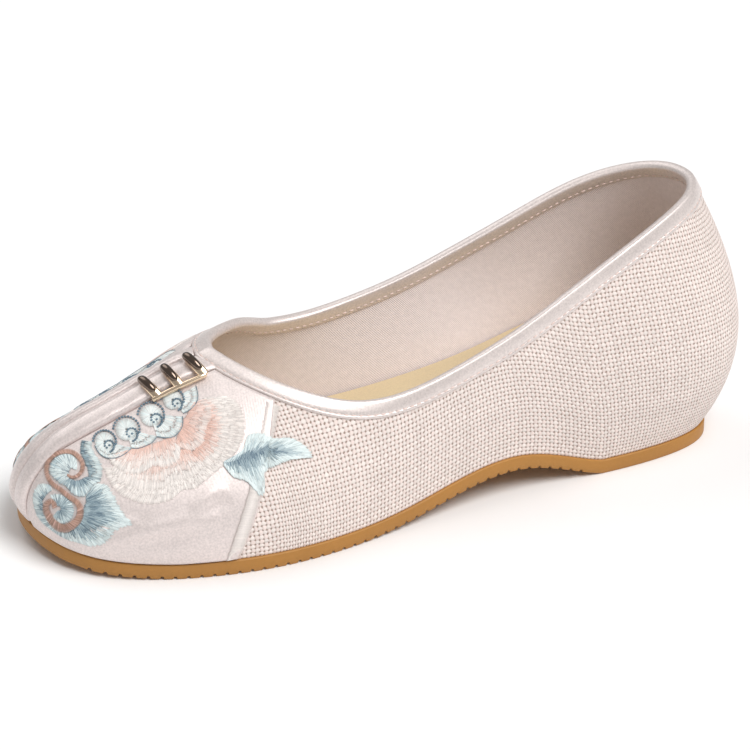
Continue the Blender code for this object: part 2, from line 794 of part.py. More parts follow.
def ornament(look):
    finder = Finder(LATERAL)

    def above(k, across, height):
        """A point over the lateral beam, and the direction of the ridge there."""
        centre = crest(LATERAL, k)
        run = crest(LATERAL, k + 0.01) - crest(LATERAL, k - 0.01)
        run /= np.linalg.norm(run)
        at = finder.find(centre, run, across)
        out = normal(LATERAL, *at)
        level = np.cross((0.0, 1.0, 0.0), run)
        level *= np.sign(level[2])
        share = min(1.0, across / (BEAM_GROOVE + BEAM_WIDTH))
        n = level * (1 - share) + out * share
        return last(LATERAL, *at) + height * n / np.linalg.norm(n), run

    def bar(name, rows, width, height):
        found = [above(*row) for row in rows]
        path = np.array([f[0] for f in found])
        run = np.array([f[1] for f in found])
        side = np.cross(run, (0.0, 0.0, 1.0)) if name == "ornament" else run
        points = Points()
        faces = []
        sweep(points, faces, tube(path, side, width / 2, height / 2))
        return piece(name, points.all, faces, look)

    rail_rows = [(k, RAIL_ACROSS, RAIL_HEIGHT) for k in np.linspace(RAIL_ROWS[0], RAIL_ROWS[1], 9)]
    made = bar("ornament", rail_rows, RAIL_THICK, RAIL_THICK)
    for rung in RUNGS:
        rows = []
        for arch in RUNG_ARCH:
            share = arch.across / RAIL_ACROSS
            rows.append((rung.far_row + (rung.near_row - rung.far_row) * share, arch.across, arch.height))
        part = bar("rung_" + rung.name, rows, RUNG_WIDE, RUNG_HIGH)
        SHOE.objects.unlink(part)
        CUTTERS.objects.link(part)
        part.hide_render = True
        part.display_type = "WIRE"
        join = made.modifiers.new("Join " + rung.name, "BOOLEAN")
        join.operation = "UNION"
        join.solver = "EXACT"
        join.object = part
    return made


GUM = material("Gum rubber", (0.46, 0.24, 0.08), 0.6)
LINEN = material("Linen", (0.80, 0.66, 0.58), 0.9)
SATIN = material("Satin", (0.82, 0.72, 0.68), 0.4)
FELT = material("Insole cloth", (0.80, 0.68, 0.42), 0.9)
GOLD = material("Pale gold", (0.80, 0.66, 0.48), 0.25, 1.0)

outsole(GUM)
insole(FELT)
upper(LINEN)
binding(SATIN)
for which in (LATERAL, MEDIAL):
    beam(which, SATIN)
    panel(which, SATIN)
ornament(GOLD)
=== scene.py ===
"""Embroidered cloth flat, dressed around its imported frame: linen, satin, thread, rubber and pale gold."""
import math
import random
from collections import namedtuple

import bmesh
import bpy
import numpy as np
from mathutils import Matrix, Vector
from mathutils.kdtree import KDTree


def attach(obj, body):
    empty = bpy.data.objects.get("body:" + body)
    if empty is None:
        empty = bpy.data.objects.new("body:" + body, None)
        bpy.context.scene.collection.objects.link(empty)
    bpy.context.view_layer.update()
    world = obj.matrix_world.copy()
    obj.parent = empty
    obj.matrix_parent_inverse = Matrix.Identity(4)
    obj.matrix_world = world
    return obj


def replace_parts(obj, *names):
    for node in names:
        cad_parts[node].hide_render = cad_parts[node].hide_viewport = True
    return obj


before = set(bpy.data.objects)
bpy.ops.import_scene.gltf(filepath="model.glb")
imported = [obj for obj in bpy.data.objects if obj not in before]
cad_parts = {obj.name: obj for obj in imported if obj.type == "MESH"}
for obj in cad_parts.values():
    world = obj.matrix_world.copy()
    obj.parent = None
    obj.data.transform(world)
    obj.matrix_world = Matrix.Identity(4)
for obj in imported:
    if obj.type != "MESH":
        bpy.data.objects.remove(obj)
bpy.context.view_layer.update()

bl_info = {
    "name": "Embroidered cloth flat",
    "version": (1, 0, 0),
    "blender": (4, 5, 0),
    "location": "3D View, Sidebar, Shoe",
    "description": "Dresses a slip-on cloth shoe with linen, satin, embroidery and its sole",
    "category": "Object",
}

MM = 0.001

# Sizes of the last, in millimetres
REACH = 128.44       # half the overall length, heel bulge to the front of the toe beams
MIDDLE = 1.42        # how far the last's mid-line stands off the middle of the box
SOLE_THICK = 5.0     # outsole, tread to welt
WELT = 1.0           # outsole edge beyond the foot of the upper
WALL = 2.0           # linen, stiffener and lining together
GAP = 0.3            # clearance between touching pieces
LIP = 2.8            # rise of the medial collar just behind the throat
THROAT = 7.0         # row at which the collar's two edges meet
TIP = 11.0           # row at which the two sides meet at the toe
TOE_START = 6.0      # row from which spots on the toe are looked for
TOE_LIMIT = 10.96    # row past which the last draws to a point
RIDGE_LIMIT = 0.985  # the same for the way up to the ridge

# Rows of the sole; a lift below zero is pressed flat by the floor
Section = namedtuple("Section", "name along lateral medial lift")
SECTIONS = (
    Section("heel_back", 12.0, 0.0, 0.0, -1.0),
    Section("heel_corner", 18.0, 20.0, 18.5, -1.0),
    Section("heel_side", 39.5, 28.5, 26.5, -1.0),
    Section("heel_breast", 63.5, 30.5, 27.0, 0.6),
    Section("waist", 94.5, 32.0, 25.0, 9.0),
    Section("shank", 130.5, 37.5, 31.0, 3.2),
    Section("tread", 157.5, 43.0, 38.0, 0.2),
    Section("ball", 182.5, 45.5, 41.5, -0.2),
    Section("fore", 207.5, 42.5, 41.0, -0.2),
    Section("toe_side", 230.5, 34.5, 34.0, 0.8),
    Section("toe_corner", 246.5, 20.5, 25.0, 2.6),
    Section("toe_tip", 253.5, -3.0, 3.0, 4.5),
)

# Rows of the last's top: the heel, a line over the open instep, then the ridge of the toe
Crest = namedtuple("Crest", "name along lateral medial z_lateral z_medial")
CRESTS = (
    Crest("heel_back", 17.5, 0.0, 0.0, 93.0, 93.0),
    Crest("heel_corner", 24.0, 13.0, 14.5, 91.3, 91.8),
    Crest("heel_side", 45.5, 23.5, 24.0, 85.5, 86.0),
    Crest("heel_breast", 72.0, 27.5, 27.5, 75.0, 76.0),
    Crest("waist", 100.5, 26.5, 27.5, 70.0, 71.0),
    Crest("shank", 132.0, 16.5, 23.0, 71.0, 71.0),
    Crest("tread", 160.0, 4.5, 12.0, 67.0, 66.5),
    Crest("ball", 189.5, 0.0, 0.0, 58.0, 58.0),
    Crest("fore", 206.5, -0.4, 0.4, 51.5, 51.5),
    Crest("toe_side", 223.5, -1.1, 1.1, 44.5, 44.5),
    Crest("toe_corner", 235.5, -2.0, 2.0, 39.3, 39.3),
    Crest("toe_tip", 242.5, -3.0, 3.0, 34.8, 34.8),
)

# How far each row leans out at the sole and in at the crest, in degrees, and how far that carries
Flare = namedtuple("Flare", "name base_lean base_pull lean_lateral lean_medial top_pull")
FLARES = (
    Flare("heel_back", 34.0, 0.40, 29.0, 29.0, 0.46),
    Flare("heel_corner", 32.0, 0.40, 27.0, 27.0, 0.45),
    Flare("heel_side", 22.0, 0.38, 19.0, 19.0, 0.40),
    Flare("heel_breast", 12.0, 0.34, 18.0, 18.0, 0.36),
    Flare("waist", 6.0, 0.34, 30.0, 30.0, 0.34),
    Flare("shank", 5.0, 0.34, 50.0, 50.0, 0.36),
    Flare("tread", 6.0, 0.36, 60.0, 68.0, 0.36),
    Flare("ball", 8.0, 0.40, 62.0, 89.0, 0.38),
    Flare("fore", 9.0, 0.40, 63.0, 68.0, 0.40),
    Flare("toe_side", 11.0, 0.40, 60.0, 62.0, 0.42),
    Flare("toe_corner", 14.0, 0.40, 54.0, 55.0, 0.42),
    Flare("toe_tip", 16.0, 0.42, 50.0, 50.0, 0.42),
)

# Height of the collar edge at each row
Collar = namedtuple("Collar", "name z_lateral z_medial")
COLLARS = (
    Collar("heel_back", 91.0, 91.0),
    Collar("heel_corner", 89.2, 89.6),
    Collar("heel_side", 82.6, 83.2),
    Collar("heel_breast", 70.3, 71.0),
    Collar("waist", 57.2, 58.8),
    Collar("shank", 46.8, 49.2),
    Collar("tread", 46.2, 48.3),
    Collar("throat", 58.0, 58.0),
)


class Spline:
    """Cubic through values at 0, 1, 2 and so on; an even end has no slope."""

    def __init__(self, values, even_start, even_end):
        self.v = np.array(values, float)
        n = len(self.v)
        a = np.zeros((n, n))
        b = np.zeros(n)
        for i in range(1, n - 1):
            a[i, i - 1:i + 2] = (1, 4, 1)
            b[i] = 6 * (self.v[i - 1] - 2 * self.v[i] + self.v[i + 1])
        for row, near, even in ((0, 1, even_start), (n - 1, n - 2, even_end)):
            a[row, row] = 2 if even else 1
            if even:
                a[row, near] = 1
                b[row] = 6 * (self.v[near] - self.v[row])
        self.m = np.linalg.solve(a, b)

    def __call__(self, k):
        n = len(self.v)
        k = np.clip(np.asarray(k, float), 0, n - 1)
        i = np.minimum(k.astype(int), n - 2)
        t = k - i
        s = 1 - t
        line = self.v[i] * s + self.v[i + 1] * t
        return line + ((s ** 3 - s) * self.m[i] + (t ** 3 - t) * self.m[i + 1]) / 6


def columns(table, even):
    """One spline per named column; even names the columns without slope at start and end."""
    names = table[0]._fields[1:]
    return {n: Spline([getattr(r, n) for r in table], n in even[0], n in even[1]) for n in names}


SOLE = columns(SECTIONS, (("along", "lift"), ("along", "lift")))
CREST = columns(CRESTS, (("along", "z_lateral", "z_medial"), ()))
FLARE = columns(FLARES, (Flare._fields, Flare._fields))
COLLAR = columns(COLLARS, (("z_lateral", "z_medial"), ()))
LATERAL = -1
MEDIAL = 1
UP = np.array((0.0, 0.0, 1.0))


# Lines and grids of points

def unit(vectors):
    """Vectors brought to length 1."""
    return vectors / np.linalg.norm(vectors, axis=-1, keepdims=True)


def square_to(vectors, run):
    """Vectors turned square to a run, at length 1."""
    return unit(vectors - run * np.sum(vectors * run, -1, keepdims=True))


def ramp(value, start, end):
    """0 up to start, 1 from end on, and straight between."""
    return np.clip((value - start) / (end - start), 0, 1)


def blend(first, second, share):
    """A grid from each row of first to the same row of second, in columns at these shares of the way."""
    share = np.reshape(share, (-1,) + (1,) * (first.ndim - 1))
    return first[:, None] + (second - first)[:, None] * share


def halving(rule, goal, high):
    """Where a rising rule comes to its goal, between 0 and high."""
    low = np.zeros(np.shape(goal))
    high = np.full(np.shape(goal), high)
    for _ in range(24):
        middle = (low + high) / 2
        below = rule(middle) < goal
        low = np.where(below, middle, low)
        high = np.where(below, high, middle)
    return (low + high) / 2


def reaches(line):
    """How far along a line each of its points is."""
    return np.concatenate(((0.0,), np.cumsum(np.linalg.norm(np.diff(line, axis=0), axis=1))))


def points_at(where, reach, line):
    """Points this far along a line, which has the given reaches."""
    return np.stack([np.interp(where, reach, column) for column in line.T], -1)


# The last that the shoe is made on

def named(side):
    """The side's word in the tables and in the names of pieces."""
    return "lateral" if side == LATERAL else "medial"


def lift(k):
    """Height of the tread off the floor."""
    return np.maximum(SOLE["lift"](k), 0.0)


def feather(side, k):
    """Line where the foot of the upper meets the outsole, heel (row 0) to toe (row 11)."""
    x = REACH - SOLE["along"](k)
    y = side * SOLE[named(side)](k) + MIDDLE
    return np.stack((x, y, lift(k) + SOLE_THICK), -1)


def outward(side, k):
    """Level direction pointing out of the feather line."""
    step = 0.001
    d = feather(side, np.minimum(k + step, TIP)) - feather(side, np.maximum(k - step, 0.0))
    return unit(np.stack((d[..., 1] * side, -d[..., 0] * side, 0 * d[..., 0]), -1))


def crest(side, k):
    """Top of the last: the toe's ridge, shared by both sides, carried on over the foot to the heel."""
    k = np.asarray(k, float)
    both = []
    for which in (side, -side):
        x = REACH - CREST["along"](k)
        y = which * CREST[named(which)](k) + MIDDLE
        both.append(np.stack((x, y, CREST["z_" + named(which)](k)), -1))
    return np.where((k >= THROAT)[..., None], (both[0] + both[1]) / 2, both[0])


def last(side, k, v):
    """Face of the last: k runs heel to toe by rows, v from the feather line to the crest."""
    k, v = np.broadcast_arrays(np.asarray(k, float), np.asarray(v, float))
    foot = feather(side, k)
    top = crest(side, k)
    out = outward(side, k)
    chord = np.linalg.norm(top - foot, axis=-1)[..., None]
    low = np.radians(FLARE["base_lean"](k))[..., None]
    high = np.radians(FLARE["lean_" + named(side)](k))[..., None]
    base_pull = FLARE["base_pull"](k)[..., None]
    top_pull = FLARE["top_pull"](k)[..., None]
    rise = foot + base_pull * chord * (np.sin(low) * out + np.cos(low) * UP)
    fall = top + top_pull * chord * (np.sin(high) * out - np.cos(high) * UP)
    t = v[..., None]
    s = 1 - t
    return foot * s ** 3 + 3 * rise * t * s ** 2 + 3 * fall * t ** 2 * s + top * t ** 3


def normal(side, k, v):
    """Outward normal of the last."""
    step = 0.002
    k, v = np.broadcast_arrays(np.asarray(k, float), np.asarray(v, float))
    dk = last(side, np.minimum(k + step, TIP), v) - last(side, np.maximum(k - step, 0.0), v)
    dv = last(side, k, np.minimum(v + step, 1.0)) - last(side, k, np.maximum(v - step, 0.0))
    return unit(np.cross(dk, dv) * side)


def steady(side, k, v):
    """Normal of the last, kept off the lines where its rows meet."""
    return normal(side, np.minimum(k, TOE_LIMIT), np.clip(v, 0.0, RIDGE_LIMIT))


def out_by(side, k, v, distance):
    """Point of the last moved out along its steady normal."""
    return last(side, k, v) + np.asarray(distance, float)[..., None] * steady(side, k, v)


def height_to_v(side, k, z):
    """The v at which row k of the last is at height z."""
    k, z = np.broadcast_arrays(np.asarray(k, float), np.asarray(z, float))
    return halving(lambda v: last(side, k, v)[..., 2], z, 1.0)


def rim(side, k):
    """The v of the collar edge, or of the ridge in front of the throat."""
    k = np.asarray(k, float)
    z = COLLAR["z_" + named(side)](np.minimum(k, THROAT))
    if side == MEDIAL:
        z = z + LIP * np.sin(math.pi * np.clip(k - THROAT + 1, 0, 1)) ** 2
    return np.where(k < THROAT, height_to_v(side, k, z), 1.0)


THROAT_NEAR = 6.95         # lateral rows from here to the throat are left out, where the two edges meet
EVEN_THROAT = (6.4, 6.7)   # rows over which the ways out are evened, towards the throat
EVEN_HEEL = (0.3, 0.1)     # the same towards the back of the heel


class CollarLoop:
    """The collar edge once round: from the throat back along the lateral side, round the heel and forward."""

    def __init__(self, rows):
        rows = np.asarray(rows, float)
        straight = rows[(rows < THROAT_NEAR) | (rows == THROAT)]
        self.k = np.concatenate((straight[::-1], rows[1:-1]))
        self.side = np.concatenate((np.full(len(straight), LATERAL), np.full(len(rows) - 2, MEDIAL)))
        self.v = self.on_side(rim, self.k)
        self.edge = self.on_side(last, self.k, self.v)
        run = unit(np.roll(self.edge, -1, 0) - np.roll(self.edge, 1, 0))
        self.out = square_to(self.ways(self.k, self.v), run)
        down = np.cross(self.out, run)
        heel = np.argmin(self.k)
        self.down = down * -np.sign(down[heel, 2])

    def on_side(self, rule, *values):
        """A rule of the last worked out on the side that each point is on."""
        found = [rule(side, *values) for side in (LATERAL, MEDIAL)]
        pick = (self.side == LATERAL).reshape((-1,) + (1,) * (np.ndim(found[0]) - 1))
        return np.where(pick, found[0], found[1])

    def ways(self, k, v):
        """Ways out of the last, evened where the two sides meet, at the throat and the heel."""
        sharp = self.on_side(steady, k, v)
        near = np.maximum(ramp(self.k, *EVEN_THROAT), ramp(self.k, *EVEN_HEEL))[:, None]
        soft = sharp
        for _ in range(12):
            soft = (np.roll(soft, 1, 0) + 2 * soft + np.roll(soft, -1, 0)) / 4
        return unit(sharp * (1 - near) + soft * near)

    def below(self, distance):
        """Row and v of the points this far below the edge, measured across it on the last."""
        goal = self.edge + distance * self.down
        k = self.k.copy()
        v = self.v.copy()
        step = 0.003
        for _ in range(8):
            # The slopes are measured away from the ends of the last
            here = self.on_side(last, k, v)
            ahead = np.where(k > 9.0, -step, step)
            lower = np.where(v > 0.5, -step, step)
            dk = (self.on_side(last, k + ahead, v) - here) / ahead[:, None]
            dv = (self.on_side(last, k, v + lower) - here) / lower[:, None]
            miss = goal - here
            kk = np.sum(dk * dk, 1)
            vv = np.sum(dv * dv, 1)
            kv = np.sum(dk * dv, 1)
            mk = np.sum(miss * dk, 1)
            mv = np.sum(miss * dv, 1)
            flat = kk * vv - kv * kv
            k = np.clip(k + np.clip((mk * vv - mv * kv) / flat, -0.2, 0.2), 0.0, 10.9)
            v = np.clip(v + np.clip((mv * kk - mk * kv) / flat, -0.1, 0.1), 0.0, 1.0)
        return k, v

    def rings(self, section):
        """A section of points, off the linen and down from the edge, laid all the way round."""
        lines = []
        for away, depth in section:
            if depth > 0.0:
                k, v = self.below(depth)
                foot = self.on_side(last, k, v)
                lines.append(foot + away * self.ways(k, v))
            else:
                lines.append(self.edge + away * self.out + depth * self.down)
        return np.stack(lines, 1)


# Sizes and colours that a user would change

def length(name, words, millimetres):
    return bpy.props.FloatProperty(name=name, description=words, default=millimetres * MM, unit="LENGTH")


def colour(name, words, red, green, blue):
    return bpy.props.FloatVectorProperty(
        name=name, description=words, default=(red, green, blue), size=3, subtype="COLOR", min=0.0, max=1.0)


class ShoeSizes(bpy.types.PropertyGroup):
    weave: length("Linen pitch", "Distance between two threads of the linen", 1.38)
    twill: length("Lining pitch", "Distance between two ribs of the twill lining", 0.75)
    thread: length("Thread", "Thickness of the embroidery thread", 0.34)
    spacing: length("Stitch spacing", "Distance between two embroidery stitches", 0.30)
    knot: length("Knot", "Width of the round knots on the clouds", 0.9)
    running: length("Running stitch", "Distance from one running stitch to the next", 2.5)
    running_thread: length("Sewing thread", "Thickness of the running stitches' thread", 0.5)
    crease: length("Crease", "Depth of the crease over the toe panel", 0.7)
    seed: bpy.props.IntProperty(name="Seed", description="Start of the thread shades' variation", default=7)


class ShoeColours(bpy.types.PropertyGroup):
    linen_weft: colour("Linen weft", "Cream thread of the linen", 0.905, 0.815, 0.77)
    linen_warp: colour("Linen warp", "Rosy thread of the linen", 0.89, 0.76, 0.715)
    linen_gap: colour("Linen gaps", "Shade in the linen's small holes", 0.36, 0.26, 0.21)
    lining: colour("Lining", "Twill inside the shoe", 0.93, 0.84, 0.835)
    satin: colour("Satin", "Toe panels and beams", 0.82, 0.73, 0.705)
    binding: colour("Binding", "Satin strip over the collar", 0.80, 0.715, 0.685)
    insole: colour("Insole", "Cloth over the footbed", 0.74, 0.60, 0.38)
    gum: colour("Gum rubber", "Outsole", 0.44, 0.205, 0.045)
    gold: colour("Pale gold", "Ornament", 0.86, 0.68, 0.50)
    dark_reflection: colour("Painted dark reflection", "Painted dark reflection on the ornament's polished domes", 0.10, 0.065, 0.045)
    ice: colour("Ice blue", "Lightest blue thread", 0.78, 0.87, 0.87)
    mist: colour("Mist blue", "Middle blue thread", 0.42, 0.53, 0.57)
    slate: colour("Slate blue", "Darkest blue thread", 0.12, 0.19, 0.25)
    copper: colour("Copper", "Darker thread of the scroll", 0.42, 0.25, 0.19)
    bronze: colour("Bronze", "Lighter thread of the scroll", 0.58, 0.37, 0.29)
    coral: colour("Coral", "Thread at the heart of the flower", 0.80, 0.54, 0.46)
    blush: colour("Blush", "Thread of the middle petals", 0.87, 0.70, 0.64)
    cream: colour("Cream", "Thread of the petals' rims and of the seam", 0.90, 0.84, 0.80)


# Materials written as expressions

def operator_pair(operation):
    """An operator that adds a Math node, and its reflected form."""

    def forward(self, other):
        return self.look.math(operation, self, other)

    def reflected(self, other):
        return self.look.math(operation, other, self)

    return forward, reflected


class Value:
    """A socket of a look, with arithmetic that adds the Math nodes."""

    def __init__(self, look, socket):
        self.look = look
        self.socket = socket

    __add__, __radd__ = operator_pair("ADD")
    __sub__, __rsub__ = operator_pair("SUBTRACT")
    __mul__, __rmul__ = operator_pair("MULTIPLY")
    __truediv__, __rtruediv__ = operator_pair("DIVIDE")


class Look:
    """A material; fixed numbers are set on the shader's own sockets."""

    def __init__(self, name, fixed):
        self.material = bpy.data.materials.new(name)
        self.material.use_nodes = True
        self.tree = self.material.node_tree
        self.shader = self.tree.nodes["Principled BSDF"]
        for socket, value in fixed.items():
            self.shader.inputs[socket].default_value = value

    def node(self, kind, settings, inputs, out=0):
        """Adds a node, sets it, fills its inputs with numbers or links, and returns one of its outputs."""
        made = self.tree.nodes.new(kind)
        for key, value in settings.items():
            setattr(made, key, value)
        for key, value in inputs.items():
            if isinstance(value, Value):
                self.tree.links.new(value.socket, made.inputs[key])
            else:
                made.inputs[key].default_value = value
        return Value(self, made.outputs[out])

    def math(self, operation, *values):
        """A Math node on numbers and values."""
        return self.node("ShaderNodeMath", {"operation": operation}, dict(enumerate(values)))

    def limit(self, value, low, high):
        """A soft step from 0 at low to 1 at high."""
        settings = {"interpolation_type": "SMOOTHSTEP"}
        return self.node("ShaderNodeMapRange", settings, {"Value": value, "From Min": low, "From Max": high})

    def mix(self, share, first, second):
        """A colour between two."""
        settings = {"data_type": "RGBA"}
        return self.node("ShaderNodeMix", settings, {0: share, 6: paint(first), 7: paint(second)}, 2)

    def mottle(self, share, tone, dark, light):
        """A colour between a darker and a lighter form of one tone."""
        return self.mix(share, [c * dark for c in tone], [min(1.0, c * light) for c in tone])

    def shade(self, tone, by):
        """A colour darkened or lightened by a value."""
        settings = {"operation": "SCALE"}
        return self.node("ShaderNodeVectorMath", settings, {0: tone, "Scale": by})

    def place(self):
        """The spot on the piece, in metres."""
        return self.node("ShaderNodeTexCoord", {}, {}, "Object")

    def cloth(self):
        """The spot on the cloth, in millimetres: X along the shoe, Y up from the sole."""
        return self.node("ShaderNodeAttribute", {"attribute_name": "cloth"}, {}, "Vector")

    def part(self, spot, axis):
        """One coordinate of a spot."""
        return self.node("ShaderNodeSeparateXYZ", {}, {0: spot}, axis)

    def noise(self, where, scale, detail=2.0):
        """Cloudy values about 0.5."""
        return self.node("ShaderNodeTexNoise", {}, {"Vector": where, "Scale": scale, "Detail": detail})

    def chance(self, number):
        """A repeatable random number for each whole number."""
        return self.node("ShaderNodeTexWhiteNoise", {"noise_dimensions": "1D"}, {"W": number}, "Value")

    def bump(self, height, metres):
        """Relief on the surface, this deep."""
        inputs = {"Height": height, "Distance": metres, "Strength": 1.0}
        self.feed("Normal", self.node("ShaderNodeBump", {}, inputs))

    def feed(self, socket, value):
        """Links a value to one of the shader's sockets."""
        self.tree.links.new(value.socket, self.shader.inputs[socket])


def paint(value):
    """A colour as a socket takes it."""
    return value if isinstance(value, Value) else (*value, 1.0)


def linen_look(sizes, colours):
    """Coarse plain weave: pale threads over and under each other, dark in the small holes between."""
    look = Look("Linen weave", {"Roughness": 0.92, "Sheen Weight": 0.12, "Specular IOR Level": 0.2})
    spot = look.cloth()
    pitch = sizes.weave / MM
    sway = look.noise(spot, 0.22) - 0.5
    drift = look.noise(spot, 0.7) - 0.5
    u = look.part(spot, "X") / pitch + sway * 0.6 + drift * 0.5
    w = look.part(spot, "Y") / (1.12 * pitch) + sway * 0.4 - drift * 0.5
    column = look.math("FLOOR", u)
    row = look.math("FLOOR", w)
    across = (u - column - 0.5) * 2.0
    upward = (w - row - 0.5) * 2.0
    over = look.math("FLOORED_MODULO", column + row, 2.0)
    warp_round = 1.0 - across * across
    weft_round = 1.0 - upward * upward
    warp = warp_round * (0.35 + 0.65 * look.math("COSINE", upward * 1.35))
    weft = weft_round * (0.35 + 0.65 * look.math("COSINE", across * 1.35))
    height = over * warp + (1.0 - over) * weft
    tone = look.mix(over, colours.linen_weft, colours.linen_warp)
    slub = over * look.chance(column) + (1.0 - over) * look.chance(row + 0.37)
    patch = look.noise(spot, 0.16)
    # Raised threads are lightened a little by their height: painted light on the crowns of the weave.
    tone = look.shade(tone, 0.90 + 0.10 * slub + 0.14 * (patch - 0.5) + 0.06 * height)
    # The small holes at the threads' corners take the gap colour: painted shade in the weave's recesses.
    corner = look.math("ABSOLUTE", across) * look.math("ABSOLUTE", upward)
    hole_shade = look.limit(corner, 0.26, 0.74) * (0.45 + 1.1 * look.noise(spot, 1.3))
    tone = look.mix(hole_shade, tone, colours.linen_gap)
    look.feed("Base Color", tone)
    fuzz = look.noise(spot, 6.0)
    look.bump(height + 0.18 * fuzz, 0.26 * MM)
    return look.material


def lining_look(sizes, colours):
    """Fine twill: slanted ribs, a little slubby."""
    look = Look("Twill lining", {"Roughness": 0.9, "Specular IOR Level": 0.2})
    spot = look.cloth()
    pitch = sizes.twill / MM
    slope = look.part(spot, "X") + look.part(spot, "Y") * 0.8
    wave = look.math("SINE", slope * (2 * math.pi / pitch))
    slub = look.noise(spot, 0.5)
    fleck = look.noise(spot, 2.6)
    tone = look.mottle(0.5 + 0.5 * wave, colours.lining, 0.90, 1.05)
    look.feed("Base Color", look.shade(tone, 0.86 + 0.18 * slub + 0.12 * fleck))
    look.bump(wave * 0.5 + fleck, 0.09 * MM)
    return look.material


SATIN_RIBS = 0.42        # distance between two ribs of the satin
PANEL_ROUGH = 0.48       # roughness of the satin on the toe panels
STRIP_ROUGH = 0.36       # the same on the beams and the binding, which are drawn tighter


def satin_look(name, tone, rough):
    """Champagne satin: fine ribs across, cloudy gloss, faint pulls."""
    fixed = {"Metallic": 0.40, "Sheen Weight": 0.10, "Coat Roughness": 0.40, "Specular IOR Level": 0.55}
    look = Look(name, fixed)
    place = look.place()
    cloud = look.noise(place, 55.0)
    grain = look.noise(place, 1500.0)
    ribs = look.math("SINE", look.part(look.cloth(), "X") * (2 * math.pi / SATIN_RIBS))
    pulls = look.noise(place, 260.0)
    base = look.mottle(cloud, tone, 0.92, 1.06)
    look.feed("Base Color", look.shade(base, 0.98 + 0.5 * (grain - 0.5)))
    look.feed("Roughness", rough + 0.14 * (cloud - 0.5) + 0.10 * (grain - 0.5))
    look.feed("Coat Weight", 0.05 + 0.12 * pulls)
    look.bump(0.20 * ribs + 0.55 * grain + 0.6 * pulls, 0.06 * MM)
    return look.material


def thread_look():
    """Silk thread in the shade that each stitch carries."""
    look = Look("Silk thread", {"Sheen Weight": 0.05, "Specular IOR Level": 0.45, "Coat Roughness": 0.4})
    tint = look.node("ShaderNodeAttribute", {"attribute_name": "tint"}, {}, "Color")
    fibre = look.noise(look.place(), 2600.0)
    look.feed("Base Color", look.shade(tint, 0.90 + 0.2 * fibre))
    look.feed("Roughness", 0.42 + 0.2 * (fibre - 0.5))
    look.bump(fibre, 0.05 * MM)
    return look.material


SCUFF_HIGH = 1.6         # how far up the tread is scuffed


def gum_look(colours):
    """Gum rubber: warm, faintly mottled, scuffed pale on the tread."""
    look = Look("Gum rubber", {"Specular IOR Level": 0.4})
    place = look.place()
    cloud = look.noise(place, 40.0, 4.0)
    grain = look.noise(place, 900.0)
    low_down = 1.0 - look.limit(look.part(place, "Z"), 0.0, SCUFF_HIGH * MM)
    scuff = low_down * look.limit(cloud, 0.45, 0.75)
    tone = look.mottle(cloud, colours.gum, 0.86, 1.10)
    tone = look.mix(scuff * 0.35, tone, [c * 0.7 + 0.16 for c in colours.gum])
    look.feed("Base Color", look.shade(tone, 0.94 + 0.12 * grain))
    look.feed("Roughness", 0.50 + 0.2 * (cloud - 0.5) + 0.15 * scuff)
    look.bump(grain + 2.0 * cloud, 0.06 * MM)
    return look.material


def insole_look(colours):
    """Napped cloth glued over the footbed."""
    look = Look("Insole cloth", {"Roughness": 0.95, "Sheen Weight": 0.2, "Specular IOR Level": 0.15})
    place = look.place()
    nap = look.noise(place, 1800.0, 3.0)
    worn = look.noise(place, 30.0)
    tone = look.mottle(worn, colours.insole, 0.92, 1.08)
    look.feed("Base Color", look.shade(tone, 0.86 + 0.28 * nap))
    look.bump(nap, 0.12 * MM)
    return look.material


def gold_look(colours):
    """Plated pale gold with fine polishing marks."""
    look = Look("Pale gold", {"Metallic": 1.0})
    place = look.place()
    marks = look.noise(place, 1400.0)
    smear = look.noise(place, 180.0)
    look.feed("Base Color", look.mottle(smear, colours.gold, 0.94, 1.06))
    look.feed("Roughness", 0.16 + 0.12 * smear)
    look.bump(marks, 0.012 * MM)
    return look.material


def dark_reflection_look(colours):
    """Polished dome under a clear coat, its dark base colour a painted dark reflection."""
    look = Look("Dome painted dark reflection", {"Coat Weight": 1.0, "Coat Roughness": 0.04, "Metallic": 1.0})
    cloud = look.noise(look.place(), 700.0)
    # Base colour: a painted dark reflection, a little cloudy.
    look.feed("Base Color", look.mix(cloud, colours.dark_reflection, [c * 1.6 + 0.02 for c in colours.dark_reflection]))
    look.feed("Roughness", 0.14 + 0.10 * cloud)
    return look.material


# Meshes

